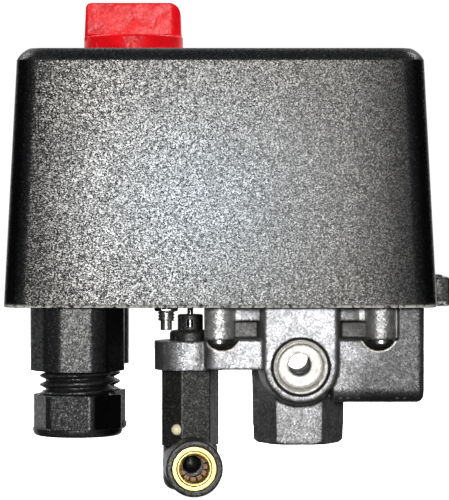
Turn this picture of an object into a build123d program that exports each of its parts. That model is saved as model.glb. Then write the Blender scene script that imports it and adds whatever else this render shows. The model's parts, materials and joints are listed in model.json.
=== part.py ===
from build123d import *
import math
import os

# Air-compressor pressure switch with a four-port manifold, an unloader valve and two cable glands.
# Millimetres. The origin is the centre of the tank port's mouth, on the underside of the hexagonal
# boss. +Z points up to the knob, +X from the cable glands towards the side port, and -Y is the front.
# Every sub-part is written as one STEP file, at its place in the assembly.

# ---- die-cast manifold ----
PORT_R = 5.55                  # tapping-drill radius of a 1/4 inch taper pipe thread
PORT_MOUTH_R = 7.25            # radius of the countersunk mouth
PORT_DEPTH = 9.1
TANK_PORT_DEPTH = 12.0
GALLERY_R = 2.75               # cross drilling that joins the ports
PORT_Z = 20.2                  # height of the front, rear and side ports
HEX_TOP_FLATS = 20.4
HEX_DRAFT = 1.2
HEX_TOP_Z = 20.0
HEX_CORNER_R = 12.6
HEX_FOOT_R = 10.2
HEX_FOOT_BEVEL = 1.6
BOSS_R = 10.4                  # U-shaped port boss at its root
BOSS_ROOT_Y = 10.0
BOSS_FACE_Y = 24.0
BOSS_DRAFT = 6.0
FLANGE_X0 = -23.4
FLANGE_Y = 21.8
FLANGE_Z0 = 19.4
FLANGE_Z1 = 26.6
FLANGE_CORNER_R = 3.5
BLOCK_X0 = 8.0
BLOCK_X1 = 30.1
BLOCK_Y = 21.8
BLOCK_Z0 = 11.3
BLOCK_EDGE_R = 3.9
BLOCK_END_R = 1.7
COLUMN_X0 = 23.8
NECK_Y = 11.0
NECK_X0 = -20.0
PLATFORM_X0 = -22.0
PLATFORM_Y = 17.0
PLATFORM_Z0 = 31.0
PLATFORM_Z1 = 36.0
POST_X = 19.75
POST_Y = 18.4
POST_R = 3.7
POCKET_X = 19.0
POCKET_Y = 20.5
POCKET_R = 4.4
POCKET_Z = 28.4
EAR_R = 9.0
EAR_Z0 = 18.2
EAR_Z1 = 25.5
CHAMBER_R = 10.0
CHAMBER_DEPTH = 3.0
DIAPHRAGM_R = 13.5
DIAPHRAGM_T = 1.6
RIPPLE_R = 8.5
RIPPLE_DEPTH = 0.6
CLAMP_SCREW_R = 2.5
CLAMP_HEAD_R = 4.2
CLAMP_SCREW_TIP_Z = 24.9

# ---- steel frame ----
PLATE_X0 = -68.0
PLATE_X1 = 28.0
PLATE_Y = 27.0
PLATE_Z0 = PLATFORM_Z1
PLATE_Z1 = 37.5
PLATE_CORNER_R = 4.0
PLATE_OPENING_R = 11.0
PLATE_LIP_Y = 12.0
PLATE_LIP_H = 8.0
BRIDGE_X0 = -18.0
BRIDGE_X1 = 24.0
BRIDGE_TOP_X0 = -10.0
BRIDGE_INNER_Y = 11.0
BRIDGE_OUTER_Y = 12.5
BRIDGE_Z = 84.0
BRIDGE_TOP_T = 2.0
BRIDGE_NOSE_Z = 54.0
BRIDGE_BEND_Z = 60.0
BRIDGE_FOOT_X0 = -10.0
BRIDGE_FOOT_X1 = 11.0
BRIDGE_FOOT_Y = 7.0
BRIDGE_FOOT_T = 1.5
RIVET_HOLES_X = (-5.0, 6.0)
RIVET_HOLE_Y = 16.0
RIVET_HOLE_R = 1.3

# ---- lever, piston and springs ----
PIVOT_X = -12.0
PIVOT_Z = 48.0
PIVOT_R = 2.0
LEVER_Z0 = 43.5
LEVER_Z1 = 45.5
LEVER_X0 = -42.0
LEVER_X1 = 26.0
LEVER_Y = 8.5
LEVER_TAIL_Y = 5.0
LEVER_EAR_X0 = -16.0
LEVER_EAR_X1 = -8.0
LEVER_EAR_Z1 = 52.0
LEVER_EAR_T = 1.5
PISTON_R = 9.5
PISTON_HUB_R = 5.0
PISTON_HUB_Z = 41.5
PISTON_NOSE_R = 2.0
RUNNING_GAP = 0.05
CONTACT_GAP = 0.3              # air between the lever and the parts that it drives
RANGE_X = 15.0
RANGE_SPRING_R = 6.6
RANGE_WIRE_R = 1.0
RANGE_SEAT_R = 7.8
RANGE_SEAT_Z = 47.5
RANGE_TOP_SEAT_Z = 72.0
RANGE_SCREW_R = 4.0
RANGE_SCREW_Z1 = 90.5
RANGE_HUB_R = 5.0
DIFF_X = -4.0
DIFF_SPRING_R = 2.9
DIFF_WIRE_R = 0.45
DIFF_SEAT_Z = 66.0
DIFF_SCREW_R = 2.5
DIFF_SCREW_Z1 = 88.4
DIFF_SEAT_R = 3.6

# ---- switching deck ----
DECK_X0 = -46.0
DECK_X1 = -26.0
DECK_Y = 25.0
DECK_Z0 = 55.0
DECK_Z1 = 62.0
POLE_X = (-42.5, -29.5)
CARRIER_X = -36.0
TIP_Y = 10.0
TIP_R = 2.0
TERMINAL_Y = 20.0
STRIP_T = 1.0
BLOCK_SCREW_Y = 22.2
SMALL_SCREW_R = 1.5            # shank of the deck's and the terminals' screws
CARRIER_BASE_Z0 = 46.6
CARRIER_BASE_Z1 = 48.0
CARRIER_STEM_X = 2.6
CARRIER_STEM_Y = 3.6
PILLAR_Y = 19.5
PILLAR_X = 3.5
EARTH_X = -32.8
EARTH_Y = -15.0
EARTH_TIP_Z = 28.8
EARTH_THREAD_Z0 = 31.2
EARTH_NUT_Z0 = 33.4

# ---- unloader valve and its swivelling outlet ----
VALVE_X = -27.1
VALVE_HEX_FLATS = 12.7
VALVE_HEX_TURN = 13.0
VALVE_HEX_Z0 = -0.8
VALVE_NECK_R = 4.0
VALVE_BORE_R = 4.2
VALVE_CLIP_R = 5.2
VALVE_CAP_Z0 = 28.1
LOCK_PLUG_R = 1.4
LOCK_PLUG_Z = 3.5
VALVE_SEAT_Z = 15.0
PIN_R = 0.75
PIN_Z0 = 11.5
PIN_HEAD_R = 2.0
PIN_HEAD_Z1 = 12.4
SPRING_CUP_Z0 = 4.2
SPRING_CUP_Z1 = 5.0
ELBOW_TURN = 4.1               # swivel of the outlet from straight forward, towards +X
ELBOW_R = 7.05
ELBOW_Z = -5.1
ELBOW_REACH = 18.0
ELBOW_SLEEVE_R = 6.9
ELBOW_FLOOR_Z = -12.0
ELBOW_TOP_Z = -0.9
SPIGOT_Z1 = 4.1
AIRWAY_R = 2.2
O_RING_Z = 1.55
O_RING_R = 3.7
O_RING_WIRE_R = 0.44
VALVE_SWEEP_R = 7.6            # space that the hexagon needs above the outlet
TUBE_R = 3.4                   # bore for a 1/4 inch tube
COLLET_R = 4.25
COLLET_LENGTH = 6.0
CARTRIDGE_R = 5.45
CARTRIDGE_DEPTH = 10.0
TOOTH_COUNT = 12

# ---- cable glands ----
GLAND_X = -54.6
GLAND_Y = 14.5
GLAND_BODY_FLATS = 21.9
GLAND_BODY_R = 11.55
GLAND_BODY_Z0 = 19.0
GLAND_BORE_R = 6.6
GLAND_THREAD_R = 9.3
GLAND_THREAD_ROOT_R = 7.8
GLAND_THREAD_PITCH = 2.2
GLAND_THREAD_Z0 = 11.4
GLAND_STEM_R = 8.0
GLAND_STEM_Z1 = 43.0
GLAND_SEAL_R = 8.6
NUT_FLATS = 19.5
NUT_CORNER_R = 10.9
NUT_FOOT_R = 11.0
NUT_FOOT = 1.9
NUT_HEIGHT = 10.1
NUT_FLOOR = 2.4
CABLE_R = 5.25                 # bore of the rubber seal, relaxed
GLANDS = (("front", -GLAND_Y, 3.0, -8.0), ("rear", GLAND_Y, 2.0, 17.0))

# ---- cover and knob ----
COVER_X0 = -71.8
COVER_X1 = 32.8
COVER_Y = 31.0
COVER_Z0 = 34.8
COVER_Z1 = 97.3
COVER_TOP_INSET_X = 3.1
COVER_TOP_INSET_Y = 1.5
COVER_CHAMFER = 2.9
COVER_CORNER_R = 5.5
COVER_WALL = 2.2
HOOK_X1 = 37.6
HOOK_Y = 7.0
HOOK_Z0 = 34.3
HOOK_Z1 = 41.6
COVER_SCREW_X = 4.0
COVER_SCREW_TIP_Z = 80.0
WELL_R = 4.0
WELL_FLOOR_Z = 90.0
KNOB_X = -41.3
KNOB_NECK_R = 7.0
KNOB_COLLAR_R = 12.4
KNOB_COLLAR_Z1 = 101.6
KNOB_Z1 = 109.8
KNOB_GRIP_X = 12.1
KNOB_GRIP_Y = 4.6
KNOB_GRIP_DRAFT = 0.4
CAM_R = 8.5
CAM_Z0 = 65.5
CAM_DISC_Z0 = 69.0
CAM_DISC_Z1 = 73.0
KNOB_STEM_R = 5.0
KNOB_CLIP_R = 9.5


def block(x0, x1, y0, y1, z0, z1):
    """A box between two corners."""
    centre = Pos((x0 + x1) / 2, (y0 + y1) / 2, (z0 + z1) / 2)
    return centre * Box(x1 - x0, y1 - y0, z1 - z0)


def rod(radius, z0, z1, x=0.0, y=0.0):
    """An upright cylinder."""
    return Pos(x, y, (z0 + z1) / 2) * Cylinder(radius, z1 - z0)


def ring(outer, inner, z0, z1, x=0.0, y=0.0):
    """An upright tube."""
    return rod(outer, z0, z1, x, y) - rod(inner, z0 - 1, z1 + 1, x, y)


def cone(lower, upper, z0, z1, x=0.0, y=0.0):
    """An upright truncated cone."""
    return Pos(x, y, (z0 + z1) / 2) * Cone(lower, upper, z1 - z0)


def along_y(radius, y0, y1, x, z):
    """A cylinder that runs front to back."""
    return Pos(x, (y0 + y1) / 2, z) * Rot(90, 0, 0) * Cylinder(radius, y1 - y0)


def along_x(radius, x0, x1, y, z):
    """A cylinder that runs left to right."""
    return Pos((x0 + x1) / 2, y, z) * Rot(0, 90, 0) * Cylinder(radius, x1 - x0)


def hexagon(flats, z0, z1, x=0.0, y=0.0, turn=0.0):
    """An upright hexagonal prism, with one flat facing the front at turn 0."""
    outline = RegularPolygon(flats / 2, 6, major_radius=False)
    return Pos(x, y, z0) * Rot(0, 0, turn) * extrude(outline, z1 - z0)


def nut(flats, bore, z0, z1, x=0.0, y=0.0, turn=0.0):
    """A plain hexagon nut with its corners bevelled at both ends."""
    bevel = 0.12 * flats
    corner = 0.56 * flats
    height = z1 - z0
    envelope = rod(corner, z0 + 0.1 * height, z1 - 0.1 * height, x, y)
    envelope += cone(corner - bevel / 2, corner, z0, z0 + 0.1 * height, x, y)
    envelope += cone(corner, corner - bevel / 2, z1 - 0.1 * height, z1, x, y)
    return (hexagon(flats, z0, z1, x, y, turn) & envelope) - rod(bore, z0 - 1, z1 + 1, x, y)


def pan_screw(shank, head, z_tip, z_seat, head_height, x, y):
    """A cross-recessed pan-head screw that points down, with its head seated at z_seat."""
    body = rod(head, z_seat, z_seat + head_height, x, y)
    body = fillet(body.faces().sort_by(Axis.Z)[-1].edges(), head_height * 0.4)
    z_top = z_seat + head_height
    for turn in (0, 90):
        slot = Rot(0, 0, turn) * Box(head * 1.1, head * 0.26, head_height)
        body -= Pos(x, y, z_top) * slot
    shaft = rod(shank, z_tip, z_seat, x, y)
    tip = shaft.faces().sort_by(Axis.Z)[0].edges()
    return body + chamfer(tip, shank * 0.3)


def coil_spring(mean_r, wire_r, z0, z1, turns, x, y=0.0):
    """An open helical compression spring standing between two seats."""
    height = z1 - z0 - 2 * wire_r
    path = Helix(pitch=height / turns, height=height, radius=mean_r)
    section = Plane(origin=path @ 0, z_dir=path % 0) * Circle(wire_r)
    return Pos(x, y, z0 + wire_r) * sweep(section, path=path, is_frenet=True)


# ------------------------------------------------------------------ manifold

def port_boss():
    """The U-shaped front port boss, drafted towards its face, closed by the platform above."""
    with BuildSketch(Plane.XZ.offset(BOSS_ROOT_Y)) as outline:
        with Locations((0, PORT_Z)):
            Circle(BOSS_R)
        with Locations((0, PORT_Z + BOSS_R)):
            Rectangle(2 * BOSS_R, 2 * BOSS_R)
    boss = extrude(outline.sketch, BOSS_FACE_Y - BOSS_ROOT_Y, taper=BOSS_DRAFT)
    boss = fillet(boss.faces().sort_by(Axis.Y)[0].edges(), 0.9)
    above = 3 * BOSS_R
    return boss - block(-above, above, -above, above, PLATFORM_Z1, PLATFORM_Z1 + above)


def port_cutter():
    """A blind port with a countersunk mouth at Z = 0, going down."""
    countersink = PORT_MOUTH_R - PORT_R
    cutter = rod(PORT_R, -PORT_DEPTH, 1)
    cutter += cone(PORT_R, PORT_MOUTH_R, -countersink, 0)
    return cutter + rod(PORT_MOUTH_R, 0, 1)


def hex_boss():
    """The hexagonal tank boss, drafted downwards, with bevelled corners at its foot."""
    outline = RegularPolygon(HEX_TOP_FLATS / 2, 6, major_radius=False)
    boss = Pos(0, 0, HEX_TOP_Z) * extrude(outline, -HEX_TOP_Z, taper=HEX_DRAFT)
    envelope = cone(HEX_FOOT_R, HEX_CORNER_R, 0, HEX_FOOT_BEVEL)
    envelope += rod(HEX_CORNER_R, HEX_FOOT_BEVEL, HEX_TOP_Z)
    return boss & envelope


def side_block():
    """The block that carries the side port, with its column up to the frame."""
    parts = []
    for x0, z_top in ((BLOCK_X0, FLANGE_Z1), (COLUMN_X0, PLATFORM_Z1)):
        length = BLOCK_X1 - x0
        body = block(x0, BLOCK_X1, -BLOCK_Y, BLOCK_Y, BLOCK_Z0, z_top)
        lower = body.edges().filter_by(Axis.X).group_by(Axis.Z)[0]
        body = fillet(lower, BLOCK_EDGE_R)
        end = body.faces().sort_by(Axis.X)[-1].edges()
        body = fillet(end.sort_by(Axis.Z)[:-1], BLOCK_END_R)
        parts.append(body)
    return parts[0] + parts[1]


def flange():
    """The clamping flange with its valve ear and the four screw pockets."""
    plate = block(FLANGE_X0, BLOCK_X0 + 1, -FLANGE_Y, FLANGE_Y, FLANGE_Z0, FLANGE_Z1)
    left = plate.edges().filter_by(Axis.Z).group_by(Axis.X)[0]
    plate = fillet(left, FLANGE_CORNER_R)
    plate += rod(EAR_R, EAR_Z0, EAR_Z1, VALVE_X)
    return plate - rod(VALVE_CLIP_R + 0.2, EAR_Z1, FLANGE_Z1 + 1, VALVE_X)


def port_manifold():
    body = flange() + side_block()
    for x in (-POCKET_X, POCKET_X):
        for y in (-POCKET_Y, POCKET_Y):
            body -= Pos(x, y, POCKET_Z) * Sphere(POCKET_R)
    body += hex_boss()
    body += block(NECK_X0, COLUMN_X0 + 1, -NECK_Y, NECK_Y, EAR_Z1 - 1, PLATFORM_Z0)
    body += block(PLATFORM_X0, COLUMN_X0 + 1, -PLATFORM_Y, PLATFORM_Y, PLATFORM_Z0, PLATFORM_Z1)
    front = port_boss()
    body += front + mirror(front, Plane.XZ)
    for x in (-POST_X, POST_X):
        for y in (-POST_Y, POST_Y):
            body += rod(POST_R, FLANGE_Z1, PLATFORM_Z1, x, y)
    for x in (-POST_X, POST_X):
        for y in (-POST_Y, POST_Y):
            body -= rod(CLAMP_SCREW_R + RUNNING_GAP, CLAMP_SCREW_TIP_Z - 0.3, PLATFORM_Z1 + 1, x, y)
    body -= Pos(0, -BOSS_FACE_Y, PORT_Z) * Rot(90, 0, 0) * port_cutter()
    body -= Pos(0, BOSS_FACE_Y, PORT_Z) * Rot(-90, 0, 0) * port_cutter()
    body -= Pos(BLOCK_X1, 0, PORT_Z) * Rot(0, 90, 0) * port_cutter()
    body -= along_y(GALLERY_R, -BOSS_FACE_Y + 1, BOSS_FACE_Y - 1, 0, PORT_Z)
    body -= along_x(GALLERY_R, 0, BLOCK_X1 - 1, 0, PORT_Z)
    body -= rod(PORT_R, -1, TANK_PORT_DEPTH)
    body -= rod(GALLERY_R, 0, PLATFORM_Z1 + 1)
    body -= rod(CHAMBER_R, PLATFORM_Z1 - DIAPHRAGM_T - CHAMBER_DEPTH, PLATFORM_Z1 + 1)
    body -= rod(DIAPHRAGM_R + 0.2, PLATFORM_Z1 - DIAPHRAGM_T, PLATFORM_Z1 + 1)
    return body - rod(VALVE_NECK_R + 0.1, EAR_Z0 - 1, EAR_Z1 + 1, VALVE_X)


def diaphragm():
    """Rubber disc with a shallow moulded ripple under the piston's edge."""
    disc = rod(DIAPHRAGM_R, PLATFORM_Z1 - DIAPHRAGM_T, PLATFORM_Z1)
    return disc - Pos(0, 0, PLATFORM_Z1 - DIAPHRAGM_T) * Torus(RIPPLE_R, RIPPLE_DEPTH)


def clamp_screws():
    screws = []
    for x in (-POST_X, POST_X):
        for y in (-POST_Y, POST_Y):
            screws.append(pan_screw(CLAMP_SCREW_R, CLAMP_HEAD_R, CLAMP_SCREW_TIP_Z, PLATE_Z1, 2.6, x, y))
    return Compound(children=screws)


# ------------------------------------------------------------------ frame

def frame_plate():
    plate = block(PLATE_X0, PLATE_X1, -PLATE_Y, PLATE_Y, PLATE_Z0, PLATE_Z1)
    plate = fillet(plate.edges().filter_by(Axis.Z), PLATE_CORNER_R)
    lip_x0 = PLATE_X1 - (PLATE_Z1 - PLATE_Z0)
    plate += block(lip_x0, PLATE_X1, -PLATE_LIP_Y, PLATE_LIP_Y, PLATE_Z0, PLATE_Z1 + PLATE_LIP_H)
    plate -= rod(PLATE_OPENING_R, PLATE_Z0 - 1, PLATE_Z1 + 1)
    plate -= rod(2.5, PLATE_Z0 - 1, PLATE_Z1 + 1, VALVE_X)
    for x in (-POST_X, POST_X):
        for y in (-POST_Y, POST_Y):
            plate -= rod(CLAMP_SCREW_R + 0.2, PLATE_Z0 - 1, PLATE_Z1 + 1, x, y)
    for y in (-GLAND_Y, GLAND_Y):
        plate -= rod(GLAND_STEM_R + 0.2, PLATE_Z0 - 1, PLATE_Z1 + 1, GLAND_X, y)
    return plate - rod(1.9, PLATE_Z0 - 1, PLATE_Z1 + 1, EARTH_X, EARTH_Y)


def spring_bridge():
    """Inverted U of folded steel that carries the pivot pin and the adjusting screws."""
    outline = Polyline(
        (BRIDGE_X0, PLATE_Z1), (BRIDGE_X1, PLATE_Z1), (BRIDGE_X1, BRIDGE_Z),
        (BRIDGE_TOP_X0, BRIDGE_Z), (BRIDGE_TOP_X0, BRIDGE_BEND_Z), (BRIDGE_X0, BRIDGE_NOSE_Z), close=True,
    )
    side = make_face(Plane.XZ * outline)
    body = Pos(0, BRIDGE_OUTER_Y, 0) * extrude(side, 2 * BRIDGE_OUTER_Y)
    body = fillet(body.edges().filter_by(Axis.X).group_by(Axis.Z)[-1], 2.0)
    z_under = BRIDGE_Z - BRIDGE_TOP_T
    body -= block(BRIDGE_X0 - 1, BRIDGE_X1 + 1, -BRIDGE_INNER_Y, BRIDGE_INNER_Y, PLATE_Z1 - 1, z_under)
    for y in (-BRIDGE_OUTER_Y - BRIDGE_FOOT_Y, BRIDGE_OUTER_Y):
        foot_top = PLATE_Z1 + BRIDGE_FOOT_T
        body += block(BRIDGE_FOOT_X0, BRIDGE_FOOT_X1, y, y + BRIDGE_FOOT_Y, PLATE_Z1, foot_top)
    for y in (-RIVET_HOLE_Y, RIVET_HOLE_Y):
        for x in RIVET_HOLES_X:
            body -= rod(RIVET_HOLE_R, PLATE_Z1, PLATE_Z1 + 3, x, y)
    body -= along_y(PIVOT_R + 0.02, -20, 20, PIVOT_X, PIVOT_Z)
    for y in (-20, 0):
        window = block(4, 18, y, y + 20, 54, 74)
        body -= fillet(window.edges().filter_by(Axis.Y), 3.0)
    body -= rod(RANGE_SCREW_R + 0.02, z_under - 1, BRIDGE_Z + 1, RANGE_X)
    body -= rod(DIFF_SCREW_R + 0.02, z_under - 1, BRIDGE_Z + 1, DIFF_X)
    return body - rod(2.03, z_under - 1, BRIDGE_Z + 1, COVER_SCREW_X)


def pivot_pin():
    pin = along_y(PIVOT_R, -14.5, 14.5, PIVOT_X, PIVOT_Z)
    return chamfer(pin.edges().filter_by(GeomType.CIRCLE), 0.3)


def pivot_clips():
    clips = []
    for y in (-13.6, 12.6):
        clip = along_y(3.6, y, y + 1.0, PIVOT_X, PIVOT_Z)
        clips.append(clip - along_y(PIVOT_R, y - 1, y + 2, PIVOT_X, PIVOT_Z))
    return Compound(children=clips)


# ------------------------------------------------------------------ lever, piston, springs

def main_lever():
    """Flat rocker with two folded ears on the pivot pin and a narrow tail under the contacts."""
    plate = block(-20, LEVER_X1, -LEVER_Y, LEVER_Y, LEVER_Z0, LEVER_Z1)
    plate += block(LEVER_X0, -19, -LEVER_TAIL_Y, LEVER_TAIL_Y, LEVER_Z0, LEVER_Z1)
    plate = fillet(plate.edges().filter_by(Axis.Z).group_by(Axis.X)[0], 2.0)
    for y in (-LEVER_Y, LEVER_Y - LEVER_EAR_T):
        ear = block(LEVER_EAR_X0, LEVER_EAR_X1, y, y + LEVER_EAR_T, LEVER_Z1, LEVER_EAR_Z1)
        plate += fillet(ear.edges().filter_by(Axis.Y).group_by(Axis.Z)[-1], 3.0)
    return plate - along_y(PIVOT_R + RUNNING_GAP, -10, 10, PIVOT_X, PIVOT_Z)


def piston():
    """Pressure foot on the diaphragm, with a small nose that lifts the lever."""
    body = rod(PISTON_R, PLATFORM_Z1, PLATFORM_Z1 + 3)
    body += rod(PISTON_HUB_R, PLATFORM_Z1 + 3, PISTON_HUB_Z)
    body = fillet(body.faces().sort_by(Axis.Z)[-1].edges(), 0.8)
    nose = rod(PISTON_NOSE_R, PISTON_HUB_Z, LEVER_Z0 - CONTACT_GAP)
    return body + fillet(nose.faces().sort_by(Axis.Z)[-1].edges(), 0.5)


def lower_spring_seat():
    seat = rod(RANGE_SEAT_R, LEVER_Z1, RANGE_SEAT_Z, RANGE_X)
    return seat + rod(RANGE_HUB_R, RANGE_SEAT_Z, RANGE_SEAT_Z + 2, RANGE_X)


def upper_spring_seat():
    seat = rod(RANGE_SEAT_R, RANGE_TOP_SEAT_Z, RANGE_TOP_SEAT_Z + 2.5, RANGE_X)
    return seat + rod(RANGE_HUB_R, RANGE_TOP_SEAT_Z - 2, RANGE_TOP_SEAT_Z, RANGE_X)


def range_spring():
    return coil_spring(RANGE_SPRING_R, RANGE_WIRE_R, RANGE_SEAT_Z, RANGE_TOP_SEAT_Z, 7, RANGE_X)


def range_screw():
    screw = rod(RANGE_SCREW_R, RANGE_TOP_SEAT_Z + 2.5, RANGE_SCREW_Z1, RANGE_X)
    screw = chamfer(screw.edges().filter_by(GeomType.CIRCLE), 0.6)
    return screw - block(RANGE_X - 5, RANGE_X + 5, -0.7, 0.7, RANGE_SCREW_Z1 - 1.9, RANGE_SCREW_Z1 + 1)


def differential_spring():
    return coil_spring(DIFF_SPRING_R, DIFF_WIRE_R, LEVER_Z1, DIFF_SEAT_Z, 12, DIFF_X)


def differential_screw():
    screw = rod(DIFF_SCREW_R, DIFF_SEAT_Z + 2, DIFF_SCREW_Z1, DIFF_X)
    screw += rod(DIFF_SEAT_R, DIFF_SEAT_Z, DIFF_SEAT_Z + 2, DIFF_X)
    return screw - block(DIFF_X - 3, DIFF_X + 3, -0.5, 0.5, DIFF_SCREW_Z1 - 1.2, DIFF_SCREW_Z1 + 1)


# ------------------------------------------------------------------ switching deck

def terminal_block():
    """Moulded deck with a window for the carrier, two pillars and barrier ribs."""
    deck = block(DECK_X0, DECK_X1, -DECK_Y, DECK_Y, DECK_Z0, DECK_Z1)
    deck = fillet(deck.edges().filter_by(Axis.Z), 1.5)
    for side in (-1, 1):
        inner, outer = sorted((side * PILLAR_Y, side * DECK_Y))
        deck += block(CARRIER_X - PILLAR_X, CARRIER_X + PILLAR_X, inner, outer, PLATE_Z1, DECK_Z0)
        inner, outer = sorted((side * 7.0, side * 18.0))
        deck += block(CARRIER_X - 1.2, CARRIER_X + 1.2, inner, outer, DECK_Z1, DECK_Z1 + 4)
    for y in (-BLOCK_SCREW_Y, BLOCK_SCREW_Y):
        deck -= rod(SMALL_SCREW_R + 0.1, PLATE_Z1 - 1, DECK_Z1 + 1, CARRIER_X, y)
    window = block(-3.0, 3.0, -4.0, 4.0, DECK_Z0 - 1, DECK_Z1 + 1)
    return deck - Pos(CARRIER_X, 0, 0) * window


def block_screws():
    screws = []
    for y in (-BLOCK_SCREW_Y, BLOCK_SCREW_Y):
        screws.append(pan_screw(SMALL_SCREW_R, 2.8, PLATE_Z1 + 0.5, DECK_Z1, 2.2, CARRIER_X, y))
    return Compound(children=screws)


def terminal_strip(x, side):
    """One brass strip, folded round the deck's edge from its contact to its terminal."""
    half = 2.5
    strip = block(x - half, x + half, 7.5, DECK_Y + STRIP_T, DECK_Z0 - STRIP_T, DECK_Z0)
    strip += block(x - half, x + half, DECK_Y, DECK_Y + STRIP_T, DECK_Z0 - STRIP_T, DECK_Z1 + STRIP_T)
    strip += block(x - half, x + half, 15, DECK_Y + STRIP_T, DECK_Z1, DECK_Z1 + STRIP_T)
    return strip if side > 0 else mirror(strip, Plane.XZ)


def at_terminals(make):
    """One solid at each of the four terminals."""
    solids = []
    for x in POLE_X:
        for y in (-TERMINAL_Y, TERMINAL_Y):
            solids.append(make(x, y))
    return Compound(children=solids)


def wire_clamp(x, y):
    z0 = DECK_Z1 + STRIP_T
    clamp = block(x - 3.2, x + 3.2, y - 3.2, y + 3.2, z0, z0 + 1.0)
    return clamp - rod(SMALL_SCREW_R + 0.1, z0 - 1, z0 + 2, x, y)


def terminal_screw(x, y):
    z_seat = DECK_Z1 + STRIP_T + 1.0
    return pan_screw(SMALL_SCREW_R, 2.9, z_seat - 1.0, z_seat, 2.6, x, y)


def fixed_tip(x, y):
    return rod(TIP_R, DECK_Z0 - STRIP_T - 1.0, DECK_Z0 - STRIP_T, x, math.copysign(TIP_Y, y))


def moving_tip(x, y):
    z1 = DECK_Z0 - STRIP_T - 1.0
    return rod(TIP_R, z1 - 1.0, z1 - RUNNING_GAP, x, math.copysign(TIP_Y, y))


def contact_bridge(x):
    z1 = DECK_Z0 - STRIP_T - 2.0
    bar = block(x - 2, x + 2, -12.5, 12.5, z1 - 1.0, z1)
    return fillet(bar.edges().filter_by(Axis.Z), 1.5)


def contact_springs():
    z1 = DECK_Z0 - STRIP_T - 3.0
    springs = [coil_spring(1.5, 0.25, CARRIER_BASE_Z1, z1, 4, x) for x in POLE_X]
    return Compound(children=springs)


def contact_carrier():
    """Moulded slide that lifts both contact bridges, with a stem up through the deck."""
    base_z0, base_z1 = CARRIER_BASE_Z0, CARRIER_BASE_Z1
    body = block(CARRIER_X - 9.5, CARRIER_X + 9.5, -5, 5, base_z0, base_z1)
    body += rod(2.0, LEVER_Z1 + CONTACT_GAP, base_z0, CARRIER_X)
    stem_x0, stem_x1 = CARRIER_X - CARRIER_STEM_X, CARRIER_X + CARRIER_STEM_X
    body += block(stem_x0, stem_x1, -CARRIER_STEM_Y, CARRIER_STEM_Y, base_z1, CAM_Z0 - CONTACT_GAP)
    cage_z1 = base_z1 + 5.6
    for x in POLE_X:
        for inner in (x - 3.4, x + 2.2):
            body += block(inner, inner + 1.2, -3, 3, base_z1, cage_z1)
        body += block(x - 3.4, x + 3.4, -3, 3, cage_z1 - 1.0, cage_z1)
    return body


# ------------------------------------------------------------------ earth terminal

def earth_screw():
    screw = pan_screw(1.8, 3.4, EARTH_THREAD_Z0, PLATE_Z1 + 1.2, 2.6, EARTH_X, EARTH_Y)
    return screw + rod(1.4, EARTH_TIP_Z, EARTH_THREAD_Z0 + 1, EARTH_X, EARTH_Y)


def earth_washer():
    return ring(3.6, 1.85, PLATE_Z1, PLATE_Z1 + 1.2, EARTH_X, EARTH_Y)


def earth_nut():
    return nut(5.2, 1.82, EARTH_NUT_Z0, PLATE_Z0, EARTH_X, EARTH_Y)


# ------------------------------------------------------------------ unloader valve

def unloader_body():
    """Hexagonal plastic valve body with a round neck through the manifold's ear."""
    body = hexagon(VALVE_HEX_FLATS, VALVE_HEX_Z0, EAR_Z0, turn=VALVE_HEX_TURN)
    body += rod(VALVE_NECK_R, EAR_Z0, VALVE_CAP_Z0)
    body -= rod(VALVE_BORE_R, VALVE_HEX_Z0 - 1, VALVE_SEAT_Z)
    body -= rod(1.3, VALVE_SEAT_Z - 1, VALVE_SEAT_Z + 3)
    body -= rod(PIN_R + RUNNING_GAP, VALVE_SEAT_Z, 29)
    return Pos(VALVE_X, 0, 0) * body - swivel_lock_plug()


def swivel_lock_plug():
    """Brass plug pressed into the hexagon's left flat, with a domed head outside."""
    flat = VALVE_HEX_FLATS / 2
    shank = along_y(LOCK_PLUG_R, -flat, 1.7 - flat, 0, 0)
    head = Pos(0, -flat, 0) * Sphere(LOCK_PLUG_R)
    plug = Pos(2.04, 0, LOCK_PLUG_Z) * (shank + head)
    return Pos(VALVE_X, 0, 0) * Rot(0, 0, VALVE_HEX_TURN - 60) * plug


def unloader_retaining_ring():
    clip = ring(VALVE_CLIP_R, VALVE_NECK_R, EAR_Z1, VALVE_CAP_Z0, VALVE_X)
    return fillet(clip.faces().sort_by(Axis.Z)[-1].edges().sort_by(SortBy.LENGTH)[-1], 1.0)


def unloader_cap():
    cap = rod(3.2, VALVE_CAP_Z0, VALVE_CAP_Z0 + 4)
    cap = fillet(cap.faces().sort_by(Axis.Z)[-1].edges(), 0.5)
    cap -= rod(PIN_R + RUNNING_GAP, VALVE_CAP_Z0 - 1, VALVE_CAP_Z0 + 5)
    cap -= block(-PIN_R, PIN_R, -4, 0, VALVE_CAP_Z0 + 0.8, VALVE_CAP_Z0 + 2.7)
    return Pos(VALVE_X, 0, 0) * cap


def unloader_pin():
    pin = rod(PIN_R, PIN_Z0, LEVER_Z0 - CONTACT_GAP) + rod(PIN_HEAD_R, PIN_Z0, PIN_HEAD_Z1)
    return Pos(VALVE_X, 0, 0) * pin


def unloader_poppet():
    return ring(2.6, PIN_R, PIN_HEAD_Z1, VALVE_SEAT_Z - 0.5, VALVE_X)


def unloader_spring():
    return coil_spring(2.2, 0.3, SPRING_CUP_Z1, PIN_Z0, 5, VALVE_X)


def unloader_spring_cup():
    return ring(VALVE_BORE_R - 0.02, 1.5, SPRING_CUP_Z0, SPRING_CUP_Z1, VALVE_X)


# ------------------------------------------------------------------ swivelling outlet

def on_outlet(shape):
    """Places a shape made about Z, with the outlet's face at Z = 0 and its depth below."""
    forward = Pos(0, -ELBOW_REACH, ELBOW_Z) * Rot(90, 0, 0) * shape
    return Pos(VALVE_X, 0, 0) * Rot(0, 0, ELBOW_TURN) * forward


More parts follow.
